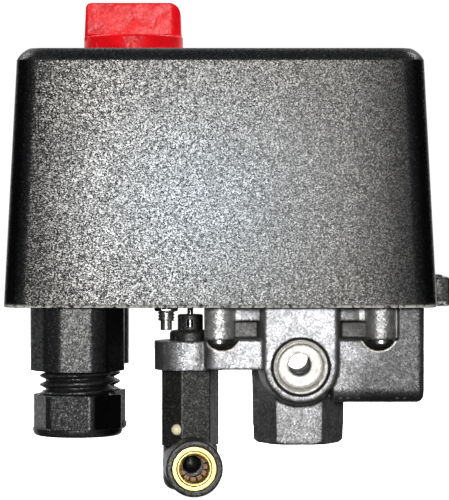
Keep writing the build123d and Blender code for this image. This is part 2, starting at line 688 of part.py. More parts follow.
def outlet_elbow():
    sleeve = rod(ELBOW_SLEEVE_R, ELBOW_FLOOR_Z, ELBOW_TOP_Z)
    sleeve = fillet(sleeve.faces().sort_by(Axis.Z)[0].edges(), 3.0)
    spigot = rod(VALVE_BORE_R - 0.08, ELBOW_TOP_Z, SPIGOT_Z1)
    spigot -= ring(VALVE_BORE_R, O_RING_R - O_RING_WIRE_R, O_RING_Z - 0.55, O_RING_Z + 0.55)
    barrel = along_y(ELBOW_R, -ELBOW_REACH, 0, 0, ELBOW_Z)
    barrel = fillet(barrel.faces().sort_by(Axis.Y)[0].edges(), 0.5)
    barrel -= rod(VALVE_SWEEP_R, ELBOW_TOP_Z, ELBOW_R)
    body = sleeve + spigot + barrel
    body -= along_y(CARTRIDGE_R, -ELBOW_REACH - 1, CARTRIDGE_DEPTH - ELBOW_REACH, 0, ELBOW_Z)
    body -= along_y(TUBE_R, -ELBOW_REACH, 13.0 - ELBOW_REACH, 0, ELBOW_Z)
    body -= along_y(AIRWAY_R, -ELBOW_REACH, 0, 0, ELBOW_Z)
    body -= Pos(0, 0, ELBOW_Z) * Sphere(AIRWAY_R)
    body -= rod(AIRWAY_R, ELBOW_Z, SPIGOT_Z1 + 1)
    return Pos(VALVE_X, 0, 0) * Rot(0, 0, ELBOW_TURN) * body


def elbow_o_ring():
    return Pos(VALVE_X, 0, O_RING_Z) * Torus(O_RING_R, O_RING_WIRE_R)


def cartridge_ring():
    """Brass sleeve pressed into the outlet; its lip holds the grab ring."""
    sleeve = ring(CARTRIDGE_R, COLLET_R + 0.08, -COLLET_LENGTH - 0.4, 0)
    return on_outlet(sleeve)


def collet():
    """Release sleeve, slotted at its inner end."""
    sleeve = ring(COLLET_R, TUBE_R, -4.6, 0.0)
    sleeve = chamfer(sleeve.faces().sort_by(Axis.Z)[-1].edges().sort_by(SortBy.LENGTH)[0], 0.4)
    return on_outlet(sleeve)


def grab_ring():
    """Springy stainless ring with inward teeth that bite the tube."""
    body = ring(CARTRIDGE_R, 3.9, -7.0, -6.4)
    for index in range(TOOTH_COUNT):
        tooth = block(2.6, 4.4, -0.62, 0.62, -7.0, -6.4)
        body += Rot(0, 0, index * 360 / TOOTH_COUNT) * tooth
    return on_outlet(body)


def tube_seal():
    return on_outlet(Pos(0, 0, -8.5) * Torus(4.3, 1.0))


# ------------------------------------------------------------------ cable glands

def gland_body(y):
    """Hexagonal gland body, threaded at both ends, with rounded corners."""
    body = hexagon(GLAND_BODY_FLATS, GLAND_BODY_Z0, PLATE_Z0) & rod(GLAND_BODY_R, 0, 50)
    body += rod(GLAND_STEM_R, PLATE_Z0, GLAND_STEM_Z1)
    body += rod(GLAND_THREAD_ROOT_R, GLAND_THREAD_Z0, GLAND_BODY_Z0)
    crest = GLAND_THREAD_Z0 + 0.5
    while crest + GLAND_THREAD_PITCH < GLAND_BODY_Z0:
        middle = crest + 0.45 * GLAND_THREAD_PITCH
        body += cone(GLAND_THREAD_ROOT_R, GLAND_THREAD_R, crest, middle)
        body += cone(GLAND_THREAD_R, GLAND_THREAD_ROOT_R, middle, crest + 0.9 * GLAND_THREAD_PITCH)
        crest += GLAND_THREAD_PITCH
    return Pos(GLAND_X, y, 0) * (body - rod(GLAND_BORE_R, 0, 50))


def gland_nut(y, z0, turn):
    """Compression nut with a domed round foot."""
    body = hexagon(NUT_FLATS, z0, z0 + NUT_HEIGHT, turn=turn) & rod(NUT_CORNER_R, z0, 50)
    foot = rod(NUT_FOOT_R, z0, z0 + NUT_FOOT)
    body += fillet(foot.faces().sort_by(Axis.Z)[0].edges(), 1.5)
    body -= rod(GLAND_THREAD_R + RUNNING_GAP, z0 + NUT_FLOOR, z0 + NUT_HEIGHT + 1)
    return Pos(GLAND_X, y, 0) * (body - rod(6.3, z0 - 1, z0 + NUT_FLOOR + 1))


def gland_seal(y, z0):
    seal = ring(GLAND_SEAL_R, CABLE_R, z0 + NUT_FLOOR, GLAND_THREAD_Z0, GLAND_X, y)
    return chamfer(seal.faces().sort_by(Axis.Z)[-1].edges().sort_by(SortBy.LENGTH)[-1], 0.8)


def gland_locknuts():
    nuts = []
    for y in (-GLAND_Y, GLAND_Y):
        nuts.append(nut(21.0, GLAND_STEM_R, PLATE_Z1, PLATE_Z1 + 4.0, GLAND_X, y, 30))
    return Compound(children=nuts)


# ------------------------------------------------------------------ cover and knob

def cover_outline(z, inset_x, inset_y, corner):
    """Rounded rectangle of the cover at one height."""
    width = COVER_X1 - COVER_X0 - 2 * inset_x
    depth = 2 * (COVER_Y - inset_y)
    plane = Plane(origin=((COVER_X0 + COVER_X1) / 2, 0, z))
    return plane * RectangleRounded(width, depth, corner)


def cover_form(wall, z0, z1):
    """The cover's drafted and bevelled form, moved inwards by a wall thickness."""
    corner = COVER_CORNER_R - wall / 2
    shoulder = z1 - COVER_CHAMFER
    inset = COVER_CHAMFER + wall
    bottom = cover_outline(z0, wall, wall, corner)
    middle = cover_outline(shoulder, COVER_TOP_INSET_X + wall, COVER_TOP_INSET_Y + wall, corner)
    top = cover_outline(z1, COVER_TOP_INSET_X + inset, COVER_TOP_INSET_Y + inset, corner - 1.5)
    return loft([bottom, middle]) + loft([middle, top])


def cover():
    body = cover_form(0, COVER_Z0, COVER_Z1) - cover_form(COVER_WALL, COVER_Z0 - 1, COVER_Z1 - COVER_WALL)
    hook = block(COVER_X1 - 1.6, HOOK_X1, -HOOK_Y, HOOK_Y, HOOK_Z0, HOOK_Z1)
    hook = chamfer(hook.faces().sort_by(Axis.X)[-1].edges(), 0.5)
    hook += block(COVER_X1 - 1.4, HOOK_X1 - 1.8, -HOOK_Y + 1.5, HOOK_Y - 1.5, HOOK_Z1 - 1, HOOK_Z1 + 0.5)
    body += hook - block(COVER_X1 + 0.8, HOOK_X1 - 1.6, -HOOK_Y + 2, HOOK_Y - 2, HOOK_Z0 - 1, HOOK_Z0 + 5)
    body += rod(WELL_R + 1.2, WELL_FLOOR_Z - 1.5, COVER_Z1 - 1, COVER_SCREW_X)
    body -= rod(WELL_R, WELL_FLOOR_Z, COVER_Z1 + 1, COVER_SCREW_X)
    body -= rod(2.2, WELL_FLOOR_Z - 3, COVER_Z1, COVER_SCREW_X)
    return body - rod(KNOB_NECK_R + 0.3, COVER_Z1 - 5, COVER_Z1 + 1, KNOB_X)


def cover_screw():
    return pan_screw(1.95, 3.6, COVER_SCREW_TIP_Z, WELL_FLOOR_Z, 2.6, COVER_SCREW_X, 0)


def knob_grip():
    """Straight drafted grip, rounder at its right end than at its left."""
    half, top = KNOB_GRIP_X, KNOB_GRIP_X - KNOB_GRIP_DRAFT
    z0 = KNOB_COLLAR_Z1 - 1
    outline = Polyline((-half, z0), (half, z0), (top, KNOB_Z1), (-top, KNOB_Z1), close=True)
    side = Pos(0, KNOB_GRIP_Y, 0) * extrude(make_face(Plane.XZ * outline), 2 * KNOB_GRIP_Y)
    upper = side.edges().filter_by(Axis.Y).group_by(Axis.Z)[-1].sort_by(Axis.X)
    side = fillet(upper[0], 1.4)
    upper = side.edges().filter_by(Axis.Y).group_by(Axis.Z)[-1].sort_by(Axis.X)
    side = fillet(upper[-1], 2.8)
    plan = block(-half, half, -KNOB_GRIP_Y, KNOB_GRIP_Y, z0, KNOB_Z1)
    plan = fillet(plan.edges().filter_by(Axis.Z).group_by(Axis.X)[-1], 2.8)
    plan = fillet(plan.edges().filter_by(Axis.Z).group_by(Axis.X)[0], 0.9)
    return side & plan


def knob():
    """Turning knob: round collar, straight grip and a stem that carries the clip and the cam."""
    z_seat = COVER_Z1 + 0.2
    collar = rod(KNOB_COLLAR_R, z_seat, KNOB_COLLAR_Z1)
    collar = fillet(collar.faces().sort_by(Axis.Z)[-1].edges(), 0.5)
    stem = rod(KNOB_NECK_R, COVER_Z1 - COVER_WALL - 2.2, z_seat)
    stem += rod(KNOB_STEM_R, CAM_DISC_Z1, COVER_Z1 - 4.0)
    return Pos(KNOB_X, 0, 0) * (collar + knob_grip() + stem)


def knob_clip():
    z1 = COVER_Z1 - COVER_WALL - 0.3
    return ring(KNOB_CLIP_R, KNOB_NECK_R, z1 - 1.6, z1, KNOB_X)


def knob_cam():
    """Cam disc on the stem's end; its lobe stands over the carrier's stem at OFF."""
    body = rod(CAM_R, CAM_DISC_Z0, CAM_DISC_Z1)
    lobe = block(-2.5, 2.5, -8.0, -2.0, CAM_Z0, CAM_DISC_Z0)
    return Pos(KNOB_X, 0, 0) * (body + fillet(lobe.edges().filter_by(Axis.Z), 1.0))


def all_nodes():
    nodes = {
        "port_manifold": port_manifold(),
        "diaphragm": diaphragm(),
        "clamp_screws": clamp_screws(),
        "frame_plate": frame_plate(),
        "spring_bridge": spring_bridge(),
        "pivot_pin": pivot_pin(),
        "pivot_clips": pivot_clips(),
        "main_lever": main_lever(),
        "piston": piston(),
        "lower_spring_seat": lower_spring_seat(),
        "upper_spring_seat": upper_spring_seat(),
        "range_spring": range_spring(),
        "range_screw": range_screw(),
        "range_lock_nut": nut(13.0, RANGE_SCREW_R, BRIDGE_Z, BRIDGE_Z + 3.6, RANGE_X),
        "differential_spring": differential_spring(),
        "differential_screw": differential_screw(),
        "differential_lock_nut": nut(8.0, DIFF_SCREW_R, BRIDGE_Z, BRIDGE_Z + 2.8, DIFF_X),
        "terminal_block": terminal_block(),
        "block_screws": block_screws(),
        "wire_clamps": at_terminals(wire_clamp),
        "terminal_screws": at_terminals(terminal_screw),
        "fixed_contact_tips": at_terminals(fixed_tip),
        "moving_contact_tips": at_terminals(moving_tip),
        "contact_springs": contact_springs(),
        "contact_carrier": contact_carrier(),
        "earth_screw": earth_screw(),
        "earth_washer": earth_washer(),
        "earth_nut": earth_nut(),
        "unloader_body": unloader_body(),
        "swivel_lock_plug": swivel_lock_plug(),
        "unloader_retaining_ring": unloader_retaining_ring(),
        "unloader_cap": unloader_cap(),
        "unloader_pin": unloader_pin(),
        "unloader_poppet": unloader_poppet(),
        "unloader_spring": unloader_spring(),
        "unloader_spring_cup": unloader_spring_cup(),
        "outlet_elbow": outlet_elbow(),
        "elbow_o_ring": elbow_o_ring(),
        "cartridge_ring": cartridge_ring(),
        "collet": collet(),
        "grab_ring": grab_ring(),
        "tube_seal": tube_seal(),
        "gland_locknuts": gland_locknuts(),
        "cover": cover(),
        "cover_screw": cover_screw(),
        "knob": knob(),
        "knob_clip": knob_clip(),
        "knob_cam": knob_cam(),
    }
    for index, x in enumerate(POLE_X, start=1):
        nodes[f"contact_bridge_{index}"] = contact_bridge(x)
        for end, side in (("front", -1), ("rear", 1)):
            nodes[f"terminal_strip_{index}_{end}"] = terminal_strip(x, side)
    for place, y, z0, turn in GLANDS:
        nodes[f"gland_body_{place}"] = gland_body(y)
        nodes[f"gland_nut_{place}"] = gland_nut(y, z0, turn)
        nodes[f"gland_seal_{place}"] = gland_seal(y, z0)
    return nodes


def write_parts():
    os.makedirs("parts", exist_ok=True)
    for name, shape in all_nodes().items():
        export_step(shape, f"parts/{name}.step")


write_parts()
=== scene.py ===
import json
import math

import bmesh
import bpy
import numpy as np
from mathutils import Matrix, Vector


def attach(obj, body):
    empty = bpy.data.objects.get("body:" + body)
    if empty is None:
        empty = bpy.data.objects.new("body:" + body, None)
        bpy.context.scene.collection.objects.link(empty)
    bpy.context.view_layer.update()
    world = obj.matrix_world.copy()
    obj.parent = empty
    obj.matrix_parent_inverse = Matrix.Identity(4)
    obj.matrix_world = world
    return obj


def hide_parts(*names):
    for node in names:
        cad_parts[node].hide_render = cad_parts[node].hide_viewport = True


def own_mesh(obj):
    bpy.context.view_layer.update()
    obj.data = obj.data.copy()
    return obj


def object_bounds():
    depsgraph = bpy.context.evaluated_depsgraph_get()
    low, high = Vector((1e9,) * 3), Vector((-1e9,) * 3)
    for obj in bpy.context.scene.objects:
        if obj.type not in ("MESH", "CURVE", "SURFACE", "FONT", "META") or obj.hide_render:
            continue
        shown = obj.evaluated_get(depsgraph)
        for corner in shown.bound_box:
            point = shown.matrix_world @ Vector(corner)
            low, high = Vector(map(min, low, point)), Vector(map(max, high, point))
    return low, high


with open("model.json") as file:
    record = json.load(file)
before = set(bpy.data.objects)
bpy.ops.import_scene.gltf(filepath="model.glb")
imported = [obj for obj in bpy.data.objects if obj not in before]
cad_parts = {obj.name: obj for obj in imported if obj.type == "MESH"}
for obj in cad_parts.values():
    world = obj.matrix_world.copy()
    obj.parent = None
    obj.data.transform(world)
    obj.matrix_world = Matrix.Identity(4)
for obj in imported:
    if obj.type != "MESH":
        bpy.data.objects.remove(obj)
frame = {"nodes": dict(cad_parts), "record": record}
cad_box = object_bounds()

MM = 0.001
NODES = frame["nodes"]
BODY_OF = {
    node: body
    for body, members in frame["record"]["behaviour"]["bodies"].items()
    for node in members
}

# ---------------------------------------------------------------- camera, light, world

scene = bpy.context.scene
scene.view_settings.view_transform = "Standard"
scene.view_settings.look = "None"


def add_object(name, data):
    made = bpy.data.objects.new(name, data)
    scene.collection.objects.link(made)
    return made


camera_data = bpy.data.cameras.new("camera")
camera_data.lens = 189.3
camera_data.sensor_width = 36.0
camera = add_object("camera", camera_data)
camera.location = (-0.0185, -0.660, 0.0597)
camera.rotation_euler = (math.radians(89.0), 0, 0)
camera_data.clip_start = 0.01
scene.camera = camera


def softbox(name, place, target, size, power, colour=(1, 1, 1)):
    data = bpy.data.lights.new(name, "AREA")
    data.shape = "DISK"
    data.size = size
    data.energy = power
    data.color = colour
    lamp = add_object(name, data)
    lamp.visible_camera = False
    lamp.location = place
    lamp.rotation_euler = (Vector(target) - Vector(place)).to_track_quat("-Z", "Y").to_euler()
    return lamp


MIDDLE = (-0.018, 0.0, 0.05)
softbox("front_key", (-0.030, -0.70, 0.098), MIDDLE, 0.06, 4.1, (1.0, 0.99, 0.97))
softbox("rear_panel", (-0.018, 0.60, 0.20), MIDDLE, 1.5, 6.0)
softbox("left_fill", (-0.54, 0.28, 0.72), MIDDLE, 0.30, 5.5)
softbox("right_fill", (0.50, 0.28, 0.72), MIDDLE, 0.30, 5.5)

world = bpy.data.worlds.new("studio")
world.use_nodes = True
scene.world = world
tree = world.node_tree
backdrop = tree.nodes["Background"]
backdrop.inputs["Strength"].default_value = 0.025
seen = tree.nodes.new("ShaderNodeBackground")
seen.inputs["Color"].default_value = (1, 1, 1, 1)
seen.inputs["Strength"].default_value = 1.05
rays = tree.nodes.new("ShaderNodeLightPath")
choose = tree.nodes.new("ShaderNodeMixShader")
backdrop.inputs["Color"].default_value = (1, 1, 1, 1)
tree.links.new(rays.outputs["Is Camera Ray"], choose.inputs[0])
tree.links.new(backdrop.outputs[0], choose.inputs[1])
tree.links.new(seen.outputs[0], choose.inputs[2])
tree.links.new(choose.outputs[0], tree.nodes["World Output"].inputs["Surface"])


# ---------------------------------------------------------------- materials

# Places on the object in mm, which the finishes share with the shapes below.
PORT_Z = 20.2
PORT_FACE_R = 6.55
PORT_RIM_R = 7.2
PORT_DEPTH_Y = 13.0
POCKET = (19.0, 20.5, 28.4)
POCKET_R = 4.49
POCKET_TOP_Z = 26.5
POST_R = 4.5
COVER_MIDDLE_X = -19.5
COVER_HALF = (52.3, 31.0)
COVER_Z = (34.8, 97.3)
HANDLED_SPOT = (-24.0, -31.0, 60.0)


class Surface:
    """A Principled material that is built from procedural nodes, in metres of object space."""

    def __init__(self, name):
        self.material = bpy.data.materials.new(name)
        self.material.use_nodes = True
        self.tree = self.material.node_tree
        self.shader = self.tree.nodes["Principled BSDF"]
        self.place = self.tree.nodes.new("ShaderNodeTexCoord").outputs["Object"]

    def feed(self, socket, value):
        if isinstance(value, bpy.types.NodeSocket):
            self.tree.links.new(value, socket)
        else:
            socket.default_value = value

    def add(self, kind, feeds, **settings):
        made = self.tree.nodes.new("ShaderNode" + kind)
        for key, value in settings.items():
            setattr(made, key, value)
        for key, value in feeds.items():
            self.feed(made.inputs[key], value)
        return made

    def noise(self, feature_mm, detail=2.0, rough=0.5, stretch=None):
        place = self.place
        if stretch:
            place = self.add("Mapping", {"Vector": place, "Scale": stretch}).outputs[0]
        feeds = {"Vector": place, "Scale": 1000 / feature_mm, "Detail": detail, "Roughness": rough}
        return self.add("TexNoise", feeds).outputs["Fac"]

    def remap(self, value, low, high, to_low=0.0, to_high=1.0):
        feeds = {"Value": value, "From Min": low, "From Max": high}
        feeds.update({"To Min": to_low, "To Max": to_high})
        return self.add("MapRange", feeds).outputs["Result"]

    def under(self, value, edge_mm, blend_mm):
        """1 where a length is under the edge, fading to 0 across the blend."""
        return self.remap(value, (edge_mm + blend_mm / 2) * MM, (edge_mm - blend_mm / 2) * MM)

    def over(self, value, edge_mm, blend_mm):
        """1 where a length is over the edge, fading to 0 across the blend."""
        return self.remap(value, (edge_mm - blend_mm / 2) * MM, (edge_mm + blend_mm / 2) * MM)

    def times(self, a, b):
        return self.add("Math", {0: a, 1: b}, operation="MULTIPLY").outputs[0]

    def plus(self, a, b):
        return self.add("Math", {0: a, 1: b}, operation="ADD").outputs[0]

    def mix(self, share, a, b):
        made = self.add("Mix", {}, data_type="RGBA")
        self.feed(made.inputs[0], share)
        for index, colour in ((6, a), (7, b)):
            if isinstance(colour, bpy.types.NodeSocket):
                self.feed(made.inputs[index], colour)
            else:
                made.inputs[index].default_value = (*colour, 1.0)
        return made.outputs[2]

    def bump(self, height, depth_um, below=None):
        feeds = {"Height": height, "Distance": depth_um * 1e-6, "Strength": 1.0}
        if below is not None:
            feeds["Normal"] = below
        return self.add("Bump", feeds).outputs["Normal"]

    def grains(self, cell_mm):
        """Three random numbers for every grain of the surface."""
        feeds = {"Vector": self.place, "Scale": 1000 / cell_mm}
        return self.add("TexVoronoi", feeds).outputs["Color"]

    def facets(self, cell_mm, tilt):
        """A normal that leans a different way in every grain of the surface."""
        lean = self.grains(cell_mm)
        lean = self.add("VectorMath", {0: lean, 1: (0.5, 0.5, 0.5)}, operation="SUBTRACT").outputs[0]
        lean = self.add("VectorMath", {0: lean, "Scale": tilt}, operation="SCALE").outputs[0]
        normal = self.add("NewGeometry", {}).outputs["Normal"]
        total = self.add("VectorMath", {0: normal, 1: lean}, operation="ADD").outputs[0]
        return self.add("VectorMath", {0: total}, operation="NORMALIZE").outputs[0]

    def distance_from(self, point_mm):
        centre = tuple(c * MM for c in point_mm)
        return self.add("VectorMath", {0: self.place, 1: centre}, operation="DISTANCE").outputs["Value"]

    def facing(self):
        """The surface's normal, as three numbers."""
        return self.add("SeparateXYZ", {"Vector": self.add("NewGeometry", {}).outputs["Normal"]}).outputs

    def size_of(self, value):
        return self.add("Math", {0: value}, operation="ABSOLUTE").outputs[0]

    def sheltered(self, reach_mm, low=0.35, high=0.85):
        """1 where the surroundings shut the surface in, and 0 in the open."""
        open_sky = self.add("AmbientOcclusion", {"Distance": reach_mm * MM}, samples=8).outputs["AO"]
        return self.remap(open_sky, low, high, 1.0, 0.0)

    def edges(self, low=0.51, high=0.60):
        point = self.add("NewGeometry", {}).outputs["Pointiness"]
        return self.remap(point, low, high)

    def hollows(self, low=0.42, high=0.495):
        point = self.add("NewGeometry", {}).outputs["Pointiness"]
        return self.remap(point, low, high, 1.0, 0.0)


def shade(colour, factor):
    return tuple(min(1.0, max(0.0, c * factor)) for c in colour)


def finish_of(name, colour, rough, metal=0.0, mottle=(14.0, 0.12), grain=(0.35, 8.0),
              swell=(3.0, 20.0), spread=0.08, wear=None, soil=None, painted_shelter_shade=None, specks=None,
              specular=0.5, stretch=None, facets=None, right=0.0):
    """One finish: blotchy colour, worn edges, soiled hollows, painted shade, uneven roughness, swell and
    fine grain.

    mottle is (size in mm, share); grain and swell are (size in mm, depth in micrometres); wear and soil
    are (colour, share); painted_shelter_shade is painted shade where the surroundings shut the surface
    in, as (colour, reach in mm, share);
    specks is (size in mm, colour, share); facets is (size in mm, tilt); right is how far the flanks that
    face +X are painted black as shade.
    """
    s = Surface(name)
    feature, amount = mottle
    blotch = s.remap(s.noise(feature, 4.0, 0.6), 0.3, 0.7)
    base = s.mix(blotch, shade(colour, 1 - amount), shade(colour, 1 + amount))
    fine = s.noise(grain[0], 3.0, 0.6, stretch)
    if specks:
        size, tint, share = specks
        dots = s.remap(s.noise(size, 1.0, 0.5), 0.72 - share, 0.78 - share)
        base = s.mix(dots, base, tint)
    if soil:
        tint, share = soil
        base = s.mix(s.times(s.times(s.hollows(), s.noise(2.5, 4.0)), share), base, tint)
    # Painted shade: darker where the surroundings shut the surface in.
    if painted_shelter_shade:
        tint, reach, share = painted_shelter_shade
        patchy = s.remap(s.noise(1.6, 4.0), 0.25, 0.6, 0.6, 1.0)
        base = s.mix(s.times(s.times(s.sheltered(reach), patchy), share), base, tint)
    if wear:
        tint, share = wear
        rubbed = s.times(s.times(s.edges(), s.remap(s.noise(0.8, 4.0), 0.35, 0.6)), share)
        base = s.mix(rubbed, base, tint)
    # Painted shade: the flanks that face +X are painted black and lose their specular.
    if right:
        right_flank_shade = s.times(s.remap(s.facing()[0], 0.35, 0.75), right)
        base = s.mix(right_flank_shade, base, (0.001, 0.001, 0.001))
        specular = s.remap(right_flank_shade, 0.0, 1.0, specular, 0.0)
    s.feed(s.shader.inputs["Base Color"], base)
    uneven = s.plus(s.times(s.noise(feature * 0.4, 4.0, 0.65), 0.7), s.times(fine, 0.3))
    s.feed(s.shader.inputs["Roughness"], s.remap(uneven, 0.25, 0.75, rough - spread, rough + spread))
    s.shader.inputs["Metallic"].default_value = metal
    s.feed(s.shader.inputs["Specular IOR Level"], specular)
    below = s.facets(*facets) if facets else None
    relief = s.bump(s.noise(swell[0], 3.0, 0.5), swell[1], below)
    s.feed(s.shader.inputs["Normal"], s.bump(fine, grain[1], relief))
    return s.material


def cover_finish():
    """Black plastic with a coarse spark-eroded grain that glitters where it faces the light, with painted
    glints, a painted highlight along the lower edge and painted shade on the rounded corners.
    """
    s = Surface("cover_plastic")
    x, _, z = s.add("SeparateXYZ", {"Vector": s.place}).outputs
    facing = s.facing()
    tone = s.remap(s.noise(15.0, 4.0, 0.6), 0.3, 0.7)
    base = s.mix(tone, (0.005, 0.006, 0.008), (0.010, 0.010, 0.010))
    # Painted glints: lighter specks in the base colour stand in for the grain's sparkle.
    painted_glint = s.remap(s.noise(0.45, 2.0, 0.6), 0.56, 0.72)
    base = s.mix(painted_glint, base, (0.045, 0.047, 0.052))
    rubbed = s.times(s.edges(0.505, 0.57), s.remap(s.noise(0.9, 4.0), 0.3, 0.6))
    base = s.mix(s.times(rubbed, 0.25), base, (0.30, 0.30, 0.30))
    # Painted highlight: a pale, patchy band along the cover's lower edge.
    lip = s.times(s.under(z, COVER_Z[0] + 0.6, 0.6), s.remap(s.noise(1.3, 4.0, 0.7), 0.40, 0.52))
    base = s.mix(s.times(lip, 0.85), base, (0.70, 0.69, 0.67))
    # Painted shade: the rounded corners between the front and the sides are painted near black above the
    # lower edge.
    sideways = s.size_of(facing[0])
    corner = s.times(s.remap(sideways, 0.15, 0.55), s.over(z, COVER_Z[0] + 1.15, 0.5))
    corner = s.times(corner, s.remap(sideways, 0.98, 0.95))
    s.feed(s.shader.inputs["Base Color"], s.mix(s.times(corner, 0.85), base, (0.001, 0.001, 0.001)))
    s.feed(s.shader.inputs["Roughness"], s.remap(s.noise(9.0, 4.0, 0.65), 0.3, 0.7, 0.26, 0.31))
    handled = s.under(s.distance_from(HANDLED_SPOT), 22.0, 36.0)
    from_middle = s.size_of(s.plus(x, -COVER_MIDDLE_X * MM))
    gloss = s.times(s.remap(handled, 0.0, 1.0, 0.37, 0.58), s.remap(from_middle, 0.030, 0.049, 1.0, 0.12))
    on_hook = s.over(x, COVER_MIDDLE_X + COVER_HALF[0] + 0.55, 0.5)
    gloss = s.plus(gloss, s.times(on_hook, 0.45))
    gloss = s.plus(gloss, s.times(s.remap(sideways, 0.95, 0.98), 0.35))
    polish = s.add("SeparateXYZ", {"Vector": s.grains(0.24)}).outputs[0]
    gloss = s.times(gloss, s.remap(polish, 0.0, 1.0, 0.25, 1.75))
    s.feed(s.shader.inputs["Specular IOR Level"], gloss)
    s.feed(s.shader.inputs["Specular Tint"], s.mix(handled, (1.0, 0.985, 0.96), (0.86, 0.93, 1.0)))
    grain = s.bump(s.noise(0.12, 2.0, 0.6), 1.5, s.facets(0.24, 0.20))
    s.feed(s.shader.inputs["Normal"], s.bump(s.noise(28.0, 1.0), 60.0, grain))
    return s.material


def zinc_finish():
    """Die-cast zinc: blasted, darker to the right and low down, turned in the ports; painted shade in the
    recesses, on sideways and downward faces, round and under the ports, in sheltered places and in the
    screw pockets; painted light on the posts and the pocket rims.
    """
    s = Surface("zinc_casting")
    x, y, z = s.add("SeparateXYZ", {"Vector": s.place}).outputs
    depth = s.size_of(y)
    facing = s.facing()
    # Painted shade: faces that turn sideways and downwards are painted darker.
    side = s.remap(s.size_of(facing[0]), 0.45, 0.95)
    under = s.remap(facing[2], -0.10, -0.70)
    wander = s.remap(s.noise(7.0, 4.0, 0.6), 0.3, 0.7, -0.004, 0.004)
    # Darker towards +X.
    darker_right = s.over(s.plus(x, wander), 11.5, 11.0)
    foot = s.under(s.plus(z, wander), 10.5, 7.0)
    # Painted shade in the recess between the flange and the plate above it.
    recess_shade = s.times(s.under(depth, 13.75, 2.5), s.over(z, 26.15, 1.3))
    over_port = s.add("CombineXYZ", {0: x, 1: s.plus(z, -PORT_Z * MM)}).outputs[0]
    reach = s.add("VectorMath", {0: over_port}, operation="LENGTH").outputs["Value"]
    outside = s.over(depth, PORT_DEPTH_Y, 1.0)
    turned_area = s.times(s.under(reach, PORT_FACE_R, 0.3), outside)
    # Painted shade on the ring round each port's turned face.
    port_rim_shade = s.times(s.under(reach, PORT_RIM_R, 0.2), outside)
    corner = s.add("CombineXYZ", {0: s.size_of(x), 1: depth, 2: z}).outputs[0]
    pocket = tuple(c * MM for c in POCKET)
    corner = s.add("VectorMath", {0: corner, 1: pocket}, operation="DISTANCE").outputs["Value"]
    low = s.under(z, POCKET_TOP_Z, 0.1)
    # Painted shade inside the screw pockets.
    pocket_shade = s.times(s.under(corner, POCKET_R, 0.06), low)
    # Painted highlight: a light ring round the rim of each screw pocket.
    pocket_rim_highlight = s.times(s.under(corner, POCKET_R + 0.41, 0.10), s.over(corner, POCKET_R, 0.06))
    pocket_rim_highlight = s.times(s.times(pocket_rim_highlight, low), s.over(depth, 20.25, 0.5))
    blotch = s.remap(s.noise(3.2, 6.0, 0.72), 0.32, 0.68)
    base = s.mix(blotch, (0.30, 0.305, 0.32), (0.72, 0.73, 0.76))
    streak = s.remap(s.noise(1.1, 5.0, 0.7), 0.35, 0.65)
    base = s.mix(s.times(streak, 0.35), base, (0.20, 0.195, 0.19))
    base = s.mix(s.times(darker_right, 0.90), base, (0.078, 0.078, 0.082))
    base = s.mix(s.times(foot, 0.55), base, (0.15, 0.15, 0.155))
    base = s.mix(s.times(recess_shade, 0.60), base, (0.12, 0.115, 0.11))
    # Painted shade on sideways and downward faces.
    base = s.mix(s.times(side, 0.62), base, (0.075, 0.068, 0.062))
    base = s.mix(s.times(under, 0.70), base, (0.060, 0.056, 0.052))
    # Painted shade: darker where the surroundings shut the casting in; it also roughens there.
    patchy = s.remap(s.noise(1.6, 4.0), 0.25, 0.6, 0.6, 1.0)
    painted_shelter_shade = s.times(s.sheltered(6.0, 0.30, 0.80), patchy)
    base = s.mix(s.times(painted_shelter_shade, 0.75), base, (0.05, 0.047, 0.043))
    bare = s.times(s.edges(0.515, 0.58), s.remap(s.noise(0.8, 4.0), 0.35, 0.55))
    base = s.mix(s.times(bare, 0.6), base, (0.78, 0.78, 0.79))
    pits = s.remap(s.noise(0.5, 2.0, 0.6), 0.66, 0.72)
    base = s.mix(s.times(pits, 0.5), base, (0.12, 0.12, 0.12))
    base = s.mix(port_rim_shade, base, (0.07, 0.066, 0.06))
    base = s.mix(s.times(pocket_shade, 0.8), base, (0.05, 0.047, 0.043))
    # Painted shade: the port bosses' faces are darker below the port.
    low_boss_shade = s.times(s.under(z, 17.85, 4.7), s.over(reach, PORT_RIM_R + 0.6, 1.2))
    low_boss_shade = s.times(low_boss_shade, s.over(depth, 22.0, 1.0))
    base = s.mix(s.times(low_boss_shade, 0.8), base, s.mix(blotch, (0.07, 0.067, 0.063), (0.20, 0.19, 0.18)))
    # Painted light: the clamp posts are painted lighter than the casting round them.
    post_light = s.times(s.over(z, 27.1, 0.6), s.over(depth, 16.4, 0.8))
    post_light = s.times(post_light, s.under(s.size_of(s.plus(s.size_of(x), -POCKET[0] * MM)), POST_R, 0.4))
    base = s.mix(s.times(post_light, 0.75), base, s.mix(blotch, (0.34, 0.34, 0.34), (0.90, 0.90, 0.90)))
    # Bare cut metal on the turned port faces; the same light colour on the pocket rims is a painted
    # highlight.
    cut = s.mix(s.remap(s.noise(0.9, 4.0, 0.7), 0.35, 0.6), (0.62, 0.61, 0.57), (0.95, 0.94, 0.90))
    turned_face_and_rim_highlight = s.plus(turned_area, pocket_rim_highlight)
    base = s.mix(turned_face_and_rim_highlight, base, cut)
    s.feed(s.shader.inputs["Base Color"], base)
    s.feed(s.shader.inputs["Metallic"], s.remap(turned_face_and_rim_highlight, 0.0, 1.0, 0.88, 0.45))
    rough = s.remap(s.noise(2.0, 4.0, 0.6), 0.3, 0.7, 0.45, 0.60)
    s.feed(s.shader.inputs["Roughness"], s.plus(rough, s.times(painted_shelter_shade, 0.1)))
    relief = s.bump(s.noise(2.4, 3.0, 0.5), 60.0, s.facets(0.30, 0.32))
    s.feed(s.shader.inputs["Normal"], s.bump(s.noise(0.30, 3.0, 0.65), 10.0, relief))
    return s.material


